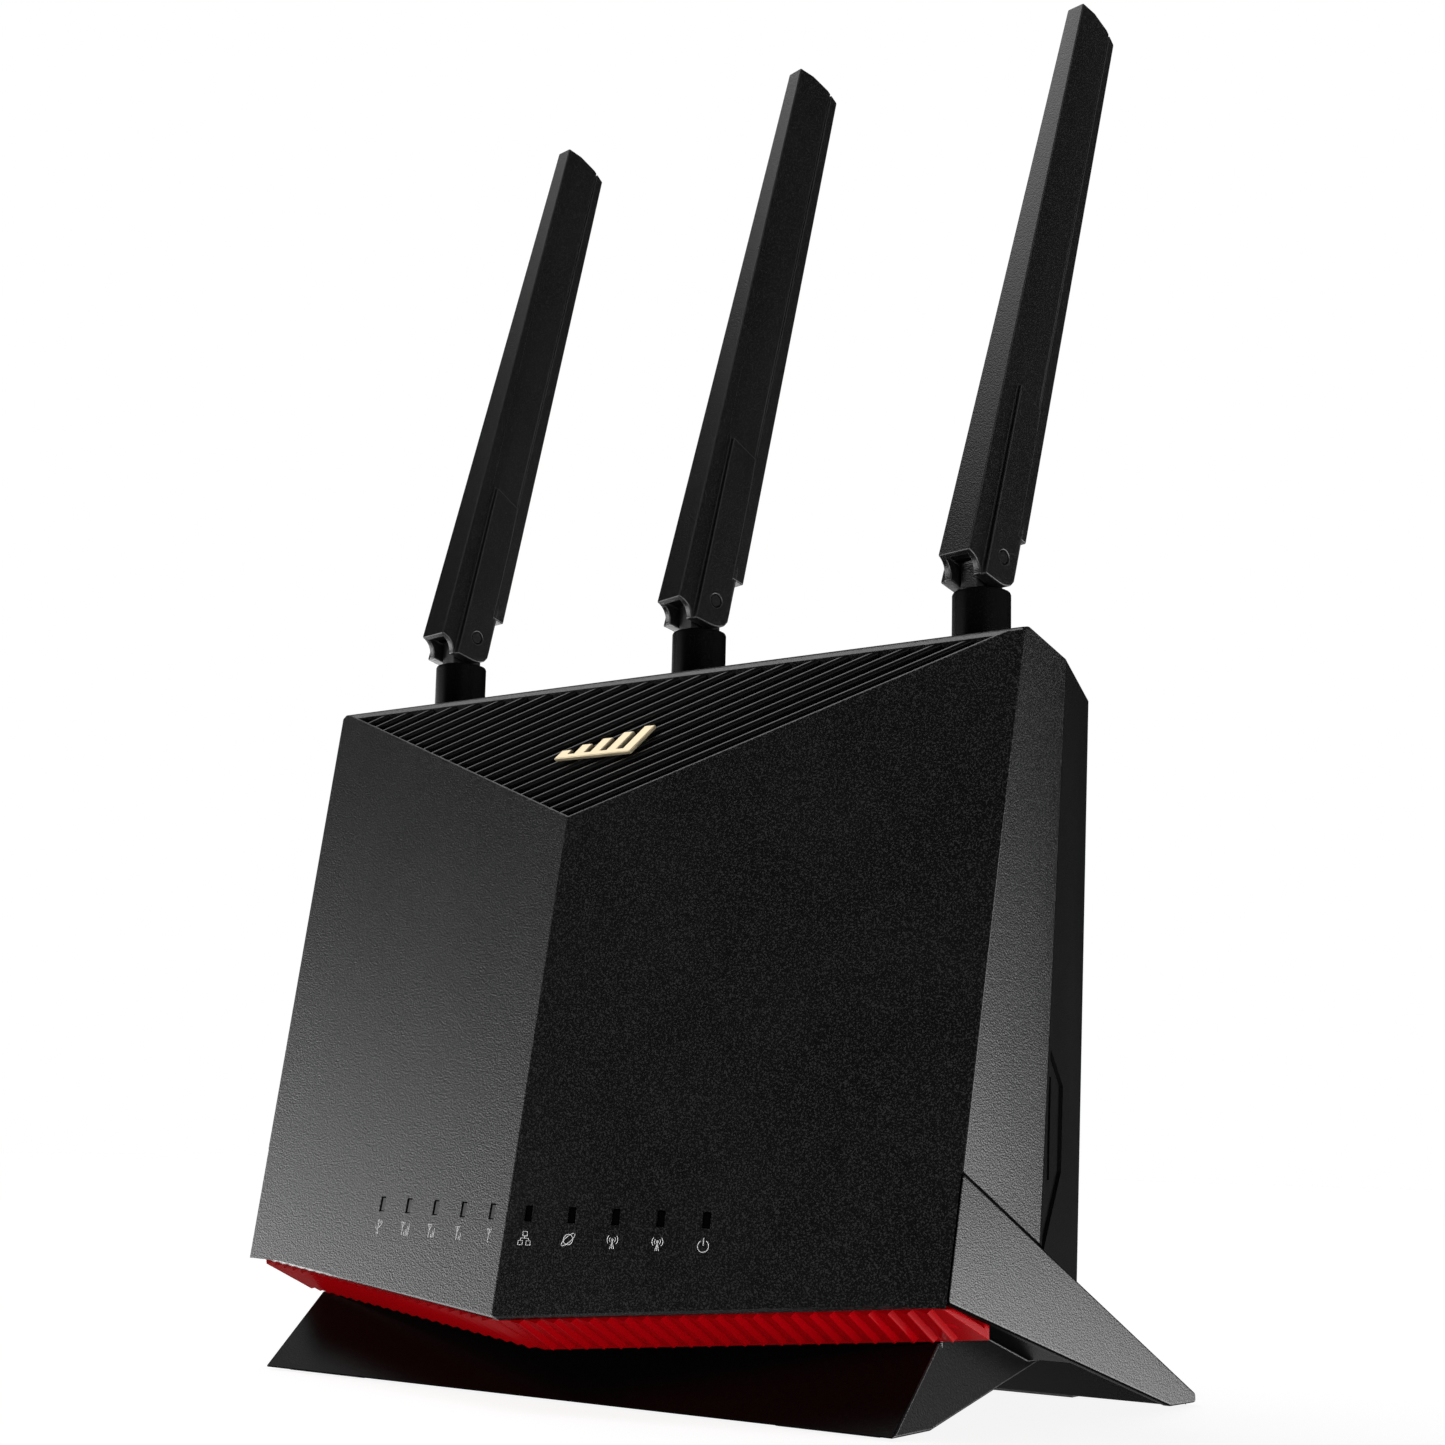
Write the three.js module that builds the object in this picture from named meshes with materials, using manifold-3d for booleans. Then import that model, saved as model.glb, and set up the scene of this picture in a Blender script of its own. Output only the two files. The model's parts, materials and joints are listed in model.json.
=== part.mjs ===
// A desktop wireless router with a folded front, a winged stand and three tilting antennas.
// Millimetres, +Z up, the front faces -Y, the ground is z = 0.
import * as THREE from "three";
import { ConvexGeometry } from "three/addons/geometries/ConvexGeometry.js";
import { mergeVertices } from "three/addons/utils/BufferGeometryUtils.js";
import Module from "manifold-3d";

const wasm = await Module();
wasm.setup();

// ---- Driving sizes ----

const gap = 0.3; // clearance between any two pieces

// Housing. Distances called reach or back are measured from the top front edge, along Y.
const frontWidth = 210;
const topEdgeHeight = 175.1;
const ridgeReach = 50.5;
const ridgeFootHeight = 20.2;
const ventReach = 29.5;
const ventDrop = 40.6;
const sideSplay = 0.12; // half-width gained per mm towards the back
const bodyDepth = 35.7;
const topFall = 10.7; // the top is this much lower at the rear
const bandTaper = 1.2; // half-width lost between the front's top corner and the rear's
const partingTopBack = 17.1;
const partingLowBack = 5;
const floorHeight = 27;
const wall = 2.4;
const chinDepth = 19.2;
const chinDrop = 8.6;

// Stand
const standLift = 0.6; // the feet hold the stand this far off the ground
const frontFootReach = 30.8;
const frontFootDepth = 16;
const frontLegSlope = 1.0686; // mm back per mm up
const legWidth = 181.8;
const apexBack = 41;
const apexHeight = 12;
const rearFootBack = 63.5;
const standBack = 73.4;
const wingTopHeight = 54.6; // where the wing's upper edge meets the front corner
const wingRearHeight = 2.8;
const wingFootHeight = 1.1; // the wing's lower edge, above the rear foot
const wingThickness = 2.4;
const wingFlange = 2;
const standWall = 2.6;
const footSize = { length: 26, width: 9, height: 1.8, recess: 1.2, inset: 18 };

// Top grille and badge
const slatPitch = 3.5;
const slatGap = 1.5;
const grilleDepth = 2.2;
const grilleFrame = 1.4;
const ventLip = 0.7; // ledge of the front cover around the slats
const ventTopLip = 3.2; // wider ledge under the top border
const badge = { width: 27, height: 8.6, bars: 5, stroke: 3.1, base: 1.4, depth: 1.1, slope: 0.45, drop: 26 };

// Bottom grille
const louvrePitch = 6.4;
const louvreGap = 2.6;
const louvreSheet = 1.8;
const louvreMargin = 2.2;

// Indicator windows
const windowPitch = 10.55;
const windowCount = 5; // on each facet
const windowWidth = 1.4;
const windowLength = 3;
const windowHeight = 42.7;
const windowRecess = 0.3;
const pipeDepth = 3;
const pipeMargin = 0.8; // of the bar around the windows

// Antennas
const antennaPitch = 82.2;
const antennaBack = 22.4;
const bossDrop = 0.6; // the antenna bosses end this far below the top edge
const bossRadius = 8.4;
const jackRadius = 3.1;
const jackHead = { radius: 5.2, height: 2.6, tail: 4 };
const jackReach = 9.4; // of the thread above the boss
const nutRadius = 7.04;
const nutHeight = 15.4;
const nutRound = 0.9;
const pivotRise = 7.42; // pin above the nut's top
const pinRadius = 1.5;
const pinHalfLength = 6.6;
const lugRadius = 5;
const lugHalf = 2.6;
const neckRadius = 4.9;
const neckDepth = 3.6; // of the knuckle's neck inside the nut
const cheekRadius = 6.9;
const cheekHalf = 7;
const cheekBack = 5;
const scoopRadius = 4.9; // hollow under the blade's front edge
const scoopWindow = 3.4; // half-width of the window from the hollow to the knuckle
const bladeLength = 161;
const swivels = { left: 10.9, middle: 16.8, right: 12.1 }; // degrees from straight back
const leans = { left: 13.8, middle: 13.1, right: 15.9 }; // degrees back from upright

// Boards and ports. Port places are from the middle, as seen from the front.
const boardThickness = 1.6;
const boardBack = 18.9; // rear face of the main board, ahead of the rear of the housing
const boardMargin = 19; // board's edge inside the housing's half-width
const boardLow = 34;
const boardTopDrop = 23; // below the top edge
const portRow = 48; // height of the port centres
const portDepth = 18.5;
const lanPlaces = [-22.5, -5, 12.5, 30];
const wanPlace = 52;
const usbPlace = -42;
const powerPlace = -59;
const dcPlace = -75;
const resetPlace = 65.5;
const wpsPlace = 76;
const socket = { width: 16, height: 13.6, holeWidth: 11.8, holeHeight: 8.4, holeDepth: 12.5 };
const usb = { width: 7.4, height: 14.6, holeWidth: 5.2, holeHeight: 12.6, holeDepth: 12, tongue: 1.7 };
const dc = { size: 10.4, holeRadius: 3.3, pinRadius: 1, holeDepth: 10 };
const buttons = {
  power: { place: powerPlace, radius: 4.6, proud: 2.2, travel: 1.6 },
  wps: { place: wpsPlace, radius: 3.2, proud: 1, travel: 0.8 },
  reset: { place: resetPlace, radius: 1.3, proud: -1, travel: 0.6 },
};
const buttonCollar = { over: 1.5, thick: 1.6 };
const buttonStem = 5;

// SIM slot, in the right-hand band
const simHeight = 64;
const simCard = { width: 22, thick: 1.1 };
const simSocket = { width: 26, depth: 16, thick: 2.8 };
const simRecess = { depth: 0.9, back: 7.4, half: 21, low: 30, flat: 9.5 };

// Fasteners
const coverScrewInset = 13; // from the housing's half-width
const coverScrewLow = 38;
const coverScrewDrop = 23.1; // below the top edge
const boardScrewInset = 8; // from the board's side edges and its top
const boardScrewLow = 68;
const screw = { radius: 1.35, headRadius: 2.7, headHeight: 1.9, recess: 1.1, recessDepth: 1 };
const bossWall = 2;
const screwGrip = 7;

// Shields, heatsink and module on the main board. Drop is from the board's top to the middle.
const heatsink = { width: 74, height: 52, base: 2.5, fin: 9, finThick: 1.4, fins: 10, place: -8, drop: 56 };
const radioShield = { width: 46, height: 34, depth: 3.2, place: -50, drop: 24 };
const cpuShield = { width: 40, height: 34, depth: 3, place: -6, drop: 64 };
const cellular = { width: 30, height: 50, depth: 3.6, place: 58, drop: 44 };

// Rear vents, in rows whose middles are this far below the top edge
const rearVent = { columns: 22, pitch: 5.6, width: 2.2, length: 22, drops: [53, 83] };

const roundSegments = 24;
const reach = 600; // longer than the whole object

// ---- Places worked out from the sizes ----

const halfWidth = frontWidth / 2;
const topEdgeY = (ridgeReach - standBack) / 2;
const back = (distance) => topEdgeY + distance;
const rearY = back(bodyDepth);
const antennaY = back(antennaBack);
const bossTop = topEdgeHeight - bossDrop;
const nutBottom = bossTop + gap;
const nutTop = nutBottom + nutHeight;
const pivotHeight = nutTop + pivotRise;
const boardRearY = rearY - boardBack;
const boardFrontY = boardRearY - boardThickness;
const boardHalf = halfWidth - boardMargin;
const boardTop = topEdgeHeight - boardTopDrop;
const simY = boardFrontY - gap - simSocket.thick / 2;
const coverScrewX = halfWidth - coverScrewInset;
const boardScrewX = boardHalf - boardScrewInset;
const point = (x, y, z) => new THREE.Vector3(x, y, z);
const insidePoint = point(0, back(0), topEdgeHeight / 2);

// ---- Planes. Each one's normal points out of the housing. ----

function planeThrough(a, b, c) {
  const plane = new THREE.Plane().setFromCoplanarPoints(a, b, c);
  return plane.distanceToPoint(insidePoint) > 0 ? plane.negate() : plane;
}

function inset(plane, by) {
  const moved = plane.clone();
  moved.constant += by;
  return moved;
}

const topCorner = (side) => point(side * halfWidth, back(0), topEdgeHeight);
const ventPoint = point(0, back(-ventReach), topEdgeHeight - ventDrop);
const ridgeFoot = point(0, back(-ridgeReach), ridgeFootHeight);
const chinPoint = point(0, back(chinDepth - ridgeReach), ridgeFootHeight - chinDrop);
const sideTop = (side, distance, z) => point(side * (halfWidth + sideSplay * distance), back(distance), z);

const facetPlane = (side) => planeThrough(topCorner(side), ventPoint, ridgeFoot);
const sidePlane = (side) =>
  planeThrough(sideTop(side, 0, 0), sideTop(side, 0, topEdgeHeight), sideTop(side, bodyDepth, 0));
const ventPlane = planeThrough(topCorner(1), topCorner(-1), ventPoint);
const topPlane = planeThrough(
  topCorner(1),
  topCorner(-1),
  point(0, rearY, topEdgeHeight - topFall),
);
const partingPlane = new THREE.Plane().setFromCoplanarPoints(
  point(0, back(partingTopBack), topEdgeHeight),
  point(1, back(partingTopBack), topEdgeHeight),
  point(0, back(partingLowBack), floorHeight),
);
if (partingPlane.normal.y < 0) partingPlane.negate();
const bandPlane = (side) =>
  planeThrough(
    sideTop(side, partingTopBack, topEdgeHeight),
    sideTop(side, partingLowBack, floorHeight),
    point(side * (halfWidth - bandTaper), rearY, topEdgeHeight - topFall),
  );
const rearPlane = new THREE.Plane(point(0, 1, 0), -rearY);
const groundedPlane = (height) => new THREE.Plane(point(0, 0, -1), height);

// Where a facet, a side and the line of the chin meet.
function meet(planeA, planeB, planeC) {
  const bc = planeB.normal.clone().cross(planeC.normal).multiplyScalar(-planeA.constant);
  const ca = planeC.normal.clone().cross(planeA.normal).multiplyScalar(-planeB.constant);
  const ab = planeA.normal.clone().cross(planeB.normal).multiplyScalar(-planeC.constant);
  const volume = planeA.normal.dot(planeB.normal.clone().cross(planeC.normal));
  return bc.add(ca).add(ab).divideScalar(volume);
}

const frontLowHeight = 28.1;
const lowCorner = (side) => meet(facetPlane(side), sidePlane(side), groundedPlane(frontLowHeight));
const chinPlane = (side) => planeThrough(lowCorner(side), ridgeFoot, chinPoint);
// The chin's back wall runs alongside the front, upright, through the chin's lowest point.
const frontFlare = (lowCorner(1).y - ridgeFoot.y) / lowCorner(1).x;
const chinBackPlane = (side) => {
  const plane = new THREE.Plane().setFromCoplanarPoints(
    chinPoint,
    point(side * 100, chinPoint.y + 100 * frontFlare, chinPoint.z),
    point(0, chinPoint.y, chinPoint.z + 100),
  );
  return plane.normal.y > 0 ? plane.negate() : plane;
};

// ---- Solids: three.js geometry in, three.js geometry out, joined and cut in between ----

function solidOf(geometry, matrix = new THREE.Matrix4()) {
  const bare = geometry.clone().applyMatrix4(matrix);
  bare.deleteAttribute("normal");
  bare.deleteAttribute("uv");
  const merged = mergeVertices(bare);
  return new wasm.Manifold(
    new wasm.Mesh({
      numProp: 3,
      vertProperties: new Float32Array(merged.attributes.position.array),
      triVerts: new Uint32Array(merged.index.array),
    }),
  );
}

function geometryOf(solid) {
  const mesh = solid.getMesh();
  const geometry = new THREE.BufferGeometry();
  geometry.setAttribute("position", new THREE.BufferAttribute(mesh.vertProperties, 3));
  geometry.setIndex(new THREE.BufferAttribute(mesh.triVerts, 1));
  const faceted = geometry.toNonIndexed();
  faceted.computeVertexNormals();
  return faceted;
}

const join = (first, ...others) => others.reduce((all, next) => all.add(next), first);
const cut = (first, ...others) => others.reduce((left, next) => left.subtract(next), first);

function keepInside(solid, planes) {
  return planes.reduce(
    (kept, { normal, constant }) => kept.trimByPlane([-normal.x, -normal.y, -normal.z], constant),
    solid,
  );
}

const flipped = (plane) => plane.clone().negate();

function block(x0, x1, y0, y1, z0, z1) {
  const box = new THREE.BoxGeometry(x1 - x0, y1 - y0, z1 - z0);
  box.translate((x0 + x1) / 2, (y0 + y1) / 2, (z0 + z1) / 2);
  return solidOf(box);
}

const everything = () => block(-reach, reach, -reach, reach, -reach, reach);

// A round bar along Z from z0 to z1; its profile turns about the axis.
function turned(profile, segments = roundSegments) {
  return solidOf(new THREE.LatheGeometry(profile.map(([r, z]) => new THREE.Vector2(r, z)), segments), zUp);
}

const zUp = new THREE.Matrix4().makeRotationX(Math.PI / 2);
const alongY = new THREE.Matrix4().makeRotationX(-Math.PI / 2);
const alongX = new THREE.Matrix4().makeRotationY(Math.PI / 2);

function roundBar(radius, from, to, segments = roundSegments) {
  const bar = new THREE.CylinderGeometry(radius, radius, to - from, segments);
  bar.rotateX(Math.PI / 2);
  bar.translate(0, 0, (from + to) / 2);
  return solidOf(bar);
}

const moved = (solid, x, y, z) => solid.translate([x, y, z]);
const turnedBy = (solid, matrix) => solid.transform(matrix.elements.slice());

// A bar along Y, with its centre line at x, z.
const barAlongY = (radius, y0, y1, x, z, segments) =>
  moved(turnedBy(roundBar(radius, y0, y1, segments), alongY), x, 0, z);

// An outline of [y, z] points drawn out along X.
function drawnAlongX(outline, x0, x1) {
  const shape = new THREE.Shape(outline.map(([y, z]) => new THREE.Vector2(y, z)));
  const geometry = new THREE.ExtrudeGeometry(shape, { depth: x1 - x0, bevelEnabled: false });
  const axes = new THREE.Matrix4().makeBasis(point(0, 1, 0), point(0, 0, 1), point(1, 0, 0));
  return moved(solidOf(geometry, axes), x0, 0, 0);
}

// An outline of [u, v] points drawn out along a frame's third axis.
function drawnOnFrame(outline, frame, from, to) {
  const shape = new THREE.Shape(outline.map(([u, v]) => new THREE.Vector2(u, v)));
  const geometry = new THREE.ExtrudeGeometry(shape, { depth: to - from, bevelEnabled: false });
  geometry.translate(0, 0, from);
  return solidOf(geometry, frame);
}

const hullOf = (points) => solidOf(new ConvexGeometry(points));

// A frame on a plane: u runs level, v runs up the plane, w points outwards.
function frameOn(plane, origin) {
  const w = plane.normal.clone();
  const u = point(0, 0, 1).cross(w).normalize();
  const v = w.clone().cross(u);
  return new THREE.Matrix4().makeBasis(u, v, w).setPosition(origin);
}

// ---- The housing's blocks ----

const bothSides = [-1, 1];

function bodyBlock(by, floor) {
  const planes = [inset(ventPlane, by), inset(topPlane, by), inset(rearPlane, by), groundedPlane(floor)];
  bothSides.forEach((side) => {
    planes.push(inset(facetPlane(side), by), inset(sidePlane(side), by), inset(bandPlane(side), by));
  });
  return keepInside(everything(), planes);
}

const facetWedge = (by) => bothSides.map((side) => inset(facetPlane(side), by));
const sideWalls = (by) => bothSides.map((side) => inset(sidePlane(side), by));
const chinPlanes = (by) => bothSides.map((side) => inset(chinPlane(side), by));
const chinBehind = (by) =>
  keepInside(everything(), bothSides.map((side) => inset(chinBackPlane(side), by)));

// The line of the wing's upper edge, from the front corner to the rear tip.
const wingFront = back(-23.1);
const wingLine = (raise) => [
  [wingFront, wingTopHeight + raise],
  [back(standBack), wingRearHeight + raise],
];

function belowWingLine(raise) {
  const [front, rear] = wingLine(raise);
  const plane = new THREE.Plane().setFromCoplanarPoints(
    point(0, front[0], front[1]),
    point(1, front[0], front[1]),
    point(0, rear[0], rear[1]),
  );
  return plane.normal.z > 0 ? plane : plane.negate();
}

const heightOnWingLine = (y) => {
  const [front, rear] = wingLine(0);
  return front[1] + ((rear[1] - front[1]) * (y - front[0])) / (rear[0] - front[0]);
};

const wingLowFront = lowCorner(1);
const heightUnderWing = (y) => {
  const share = (y - wingLowFront.y) / (back(rearFootBack - 3.4) - wingLowFront.y);
  return wingLowFront.z + (wingFootHeight - wingLowFront.z) * share;
};

// The mitre between a wing and the facet beside it.
function mitrePlane(side, by) {
  const facet = facetPlane(side);
  const flank = sidePlane(side);
  const normal = flank.normal.clone().sub(facet.normal);
  const length = normal.length();
  return new THREE.Plane(normal.divideScalar(length), (flank.constant - facet.constant) / length + by);
}

// The space that a wing takes, with a clearance around it.
function wingZone(side, clearance) {
  return keepInside(everything(), [
    belowWingLine(clearance),
    flipped(inset(sidePlane(side), wingThickness + clearance)),
    inset(sidePlane(side), -10),
    flipped(mitrePlane(side, clearance)),
  ]);
}

// ---- Fastener wells ----

const screwSides = [-1, 1];
const wellFloorY = back(partingTopBack) + 1;
const wellFloor = 2;

function coverScrewPlaces() {
  return [coverScrewLow, topEdgeHeight - coverScrewDrop].flatMap((z) => screwSides.map((side) => [side * coverScrewX, z]));
}

function boardScrewPlaces() {
  return [boardScrewLow, boardTop - boardScrewInset].flatMap((z) => screwSides.map((side) => [side * boardScrewX, z]));
}

// ---- Covers ----

const ventFrame = frameOn(ventPlane, ventPoint);
const ventHeight = ventPoint.distanceTo(point(0, back(0), topEdgeHeight));

// The vent's triangle in its own frame, drawn in from its two slanted sides and its top.
function ventOutline(lip, topLip) {
  const slant = Math.hypot(halfWidth, ventHeight);
  const low = (lip * slant) / halfWidth;
  const high = ventHeight - topLip;
  const half = ((high - low) * halfWidth) / ventHeight;
  return [
    [0, low],
    [half, high],
    [-half, high],
  ];
}

function windowFrame(side, index) {
  const x = side * (windowPitch / 2 + index * windowPitch);
  const plane = facetPlane(side);
  const y = -(plane.constant + plane.normal.x * x + plane.normal.z * windowHeight) / plane.normal.y;
  return frameOn(plane, point(x, y, windowHeight));
}

function windowSlot(side, index, clearance, from, to) {
  const halfW = windowWidth / 2 + clearance;
  const halfL = windowLength / 2 + clearance;
  const outline = [
    [-halfW, -halfL],
    [halfW, -halfL],
    [halfW, halfL],
    [-halfW, halfL],
  ];
  return drawnOnFrame(outline, windowFrame(side, index), from, to);
}

const eachWindow = (side, make) => Array.from({ length: windowCount }, (_, index) => make(side, index));

function frontCover() {
  const inner = bodyBlock(wall, floorHeight + wall);
  const shell = keepInside(cut(bodyBlock(0, floorHeight), inner), [inset(partingPlane, gap / 2)]);
  // The facets go on below the floor to the chin.
  const lipOuter = keepInside(everything(), [
    ...facetWedge(0),
    ...sideWalls(0),
    ...chinPlanes(0),
    flipped(groundedPlane(floorHeight + wall)),
  ]);
  const lip = cut(lipOuter, keepInside(everything(), facetWedge(wall)));
  const openFloor = keepInside(everything(), [
    ...facetWedge(wall),
    flipped(groundedPlane(floorHeight + wall + gap)),
  ]);
  const opening = drawnOnFrame(ventOutline(ventLip, ventTopLip), ventFrame, -wall * 3, wall);
  const ledge = drawnOnFrame(
    ventOutline(ventLip - gap, ventTopLip - gap),
    ventFrame,
    -grilleDepth - gap,
    wall,
  );
  const bosses = coverScrewPlaces().map(([x, z]) => {
    const boss = barAlongY(screw.radius + gap + bossWall, back(-ridgeReach), wellFloorY - gap, x, z, 16);
    const bore = barAlongY(screw.radius + gap, wellFloorY - gap - screwGrip - 2, wellFloorY, x, z, 12);
    return cut(keepInside(boss, [...facetWedge(wall / 2), ...sideWalls(wall / 2)]), bore);
  });
  const notches = antennaBosses(bossRadius + gap, topEdgeHeight + wall);
  const whole = join(cut(shell, openFloor), lip, ...bosses);
  const windows = bothSides.flatMap((side) =>
    eachWindow(side, (s, index) => windowSlot(s, index, gap, -wall * 2, wall)),
  );
  const wingCuts = bothSides.map((side) => wingZone(side, gap));
  return cut(whole, opening, ledge, ...notches, ...windows, ...wingCuts);
}

function portHoles() {
  const holes = [...lanPlaces, wanPlace].map((x) => portSpace(x, socket.width, socket.height));
  holes.push(portSpace(usbPlace, usb.width, usb.height), portSpace(dcPlace, dc.size, dc.size));
  Object.values(buttons).forEach(({ place, radius }) => {
    holes.push(barAlongY(radius + gap, rearY - wall * 2, rearY + wall, place, portRow));
  });
  return holes;
}

function portSpace(x, width, height) {
  const halfW = width / 2 + gap;
  const halfH = height / 2 + gap;
  return block(x - halfW, x + halfW, rearY - wall * 2, rearY + wall, portRow - halfH, portRow + halfH);
}

// The SIM recess is a long hexagon on the right-hand band, with the card's slot in it.
function simCuts() {
  const plane = bandPlane(1);
  const y = simY;
  const x = -(plane.constant + plane.normal.y * y + plane.normal.z * simHeight) / plane.normal.x;
  const frame = frameOn(plane, point(x, y, simHeight));
  const { depth, back: reachBack, half, low, flat } = simRecess;
  const outline = [
    [-reachBack, -low],
    [reachBack, -flat],
    [reachBack, flat],
    [-reachBack, half],
  ];
  const recess = keepInside(drawnOnFrame(outline, frame, -depth, wall), [
    flipped(inset(partingPlane, -gap / 2 - wall / 2)),
  ]);
  const halfSlot = simCard.width / 2 + gap;
  const halfThick = simCard.thick / 2 + gap;
  const slot = block(x - wall * 3, x + wall, y - halfThick, y + halfThick, simHeight - halfSlot, simHeight + halfSlot);
  return [recess, slot];
}

function rearVents() {
  const { columns, pitch, width, length, drops } = rearVent;
  return drops.flatMap((drop) =>
    Array.from({ length: columns }, (_, index) => {
      const z = topEdgeHeight - drop;
      const x = (index - (columns - 1) / 2) * pitch;
      const half = width / 2;
      return block(x - half, x + half, rearY - wall * 2, rearY + wall, z - length / 2, z + length / 2);
    }),
  );
}

function antennaPlaces() {
  return { left: -antennaPitch, middle: 0, right: antennaPitch };
}

const topHeightAt = (y) => topEdgeHeight - (topFall * (y - back(0))) / bodyDepth;

function antennaBosses(radius, top) {
  const low = topHeightAt(antennaY) - wall * 2;
  return Object.values(antennaPlaces()).map((x) => moved(roundBar(radius, low, top), x, antennaY, 0));
}

// The floor is part of the rear cover. It runs forward to the chin, between the wings.
function rearCover() {
  const inner = bodyBlock(wall, floorHeight + wall);
  const shell = keepInside(cut(bodyBlock(0, floorHeight), inner), [
    flipped(inset(partingPlane, -gap / 2)),
  ]);
  const floor = keepInside(chinBehind(0), [
    ...facetWedge(wall + gap),
    ...sideWalls(wingThickness + gap),
    groundedPlane(floorHeight),
    groundedTop(floorHeight + wall),
    inset(partingPlane, -wall),
  ]);
  const bosses = antennaBosses(bossRadius, bossTop);
  const underTop = keepInside(everything(), [flipped(inset(topPlane, wall))]);
  const jackBores = Object.values(antennaPlaces()).map((x) =>
    moved(roundBar(jackRadius + gap, bossTop - 60, bossTop + 5), x, antennaY, 0),
  );
  const wells = coverScrewPlaces().map(([x, z]) => {
    const bore = screw.headRadius + gap;
    const tube = barAlongY(bore + bossWall, wellFloorY, rearY - wall / 2, x, z, 20);
    return keepInside(tube, bothSides.map((side) => inset(bandPlane(side), wall / 2)));
  });
  const wellBores = coverScrewPlaces().flatMap(([x, z]) => [
    barAlongY(screw.headRadius + gap, wellFloorY + wellFloor, rearY + wall, x, z, 20),
    barAlongY(screw.radius + gap, wellFloorY - wall, rearY, x, z, 12),
  ]);
  const boardPosts = boardScrewPlaces().map(([x, z]) =>
    barAlongY(screw.radius + gap + bossWall, boardRearY + gap, rearY - wall / 2, x, z, 16),
  );
  const postBores = boardScrewPlaces().map(([x, z]) =>
    barAlongY(screw.radius + gap, boardRearY - wall, boardRearY + gap + screwGrip, x, z, 12),
  );
  const ownBosses = bosses.map((boss) => boss.intersect(underTop));
  const whole = join(shell, floor, ...ownBosses, ...wells, ...boardPosts);
  return cut(
    whole,
    ...jackBores,
    ...wellBores,
    ...postBores,
    ...portHoles(),
    ...simCuts(),
    ...rearVents(),
    ...bothSides.map((side) => wingZone(side, gap)),
  );
}

// ---- Grilles, badge and light pipes ----

// Bars parallel to the vent's right-hand edge, one every pitch, counted from that edge.
function slatSpaces(from, to) {
  const slant = Math.hypot(halfWidth, ventHeight);
  const along = [halfWidth / slant, ventHeight / slant];
  const across = [-along[1], along[0]];
  const farCorner = (2 * halfWidth * ventHeight) / slant;
  const count = Math.floor(farCorner / slatPitch);
  return Array.from({ length: count }, (_, index) => {
    const start = (index + 1) * slatPitch - slatGap;
    const corner = (s, t) => [along[0] * s + across[0] * t, along[1] * s + across[1] * t];
    const outline = [
      corner(-reach, start),
      corner(reach, start),
      corner(reach, start + slatGap),
      corner(-reach, start + slatGap),
    ];
    return drawnOnFrame(outline, ventFrame, from, to);
  });
}

function topGrille() {
  const plate = drawnOnFrame(ventOutline(ventLip, ventTopLip), ventFrame, -grilleDepth, 0);
  const field = drawnOnFrame(
    ventOutline(ventLip + grilleFrame, ventTopLip + grilleFrame),
    ventFrame,
    -grilleDepth - 1,
    1,
  );
  const spaces = join(...slatSpaces(-grilleDepth - 1, 1)).intersect(field);
  // A rib behind the slats holds them level.
  const ribHeight = ventHeight * 0.6;
  const frameMiddle = ventOutline(ventLip + grilleFrame / 2, ventTopLip + grilleFrame / 2);
  const rib = drawnOnFrame(
    [
      [-halfWidth, ribHeight],
      [halfWidth, ribHeight],
      [halfWidth, ribHeight + 2],
      [-halfWidth, ribHeight + 2],
    ],
    ventFrame,
    -grilleDepth * 0.9,
    -grilleDepth / 2,
  ).intersect(drawnOnFrame(frameMiddle, ventFrame, -grilleDepth, 0));
  return join(cut(plate, spaces), rib);
}

// Five slanted bars that rise in steps from one base line.
function badgeMark() {
  const { width, height, bars, stroke, base, depth, slope, drop } = badge;
  const foot = ventHeight - drop - height / 2;
  const slanted = (u, v) => [u + slope * v, foot + v];
  const left = -width / 2;
  const right = width / 2 - slope * height;
  const pitch = (right - left - stroke) / (bars - 1);
  const outline = [slanted(left, 0), slanted(right, 0)];
  for (let index = bars - 1; index >= 0; index -= 1) {
    const u = left + index * pitch;
    const rise = base + ((height - base) * (index + 1)) / bars;
    outline.push(slanted(u + stroke, rise), slanted(u, rise));
    if (index > 0) outline.push(slanted(u, base), slanted(u - pitch + stroke, base));
  }
  return drawnOnFrame(outline, ventFrame, gap, gap + depth);
}

function bottomGrille() {
  const limits = [...facetWedge(wall + gap), ...sideWalls(wingThickness + gap)];
  const top = groundedTop(floorHeight - gap);
  const behind = chinBehind(0);
  const outer = cut(keepInside(everything(), [...limits, ...chinPlanes(0), top]), behind);
  const inner = cut(
    keepInside(everything(), [...facetWedge(0), ...chinPlanes(louvreSheet), inset(top, -5)]),
    chinBehind(-louvreSheet),
  );
  const tray = cut(outer, inner);
  const field = cut(
    keepInside(everything(), [
      ...facetWedge(wall + gap + louvreMargin),
      ...sideWalls(wingThickness + gap + louvreMargin),
    ]),
    chinBehind(-louvreSheet - louvreMargin),
  );
  return cut(tray, join(...louvreSpaces()).intersect(field));
}

const groundedTop = (height) => new THREE.Plane(point(0, 0, 1), -height);

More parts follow.
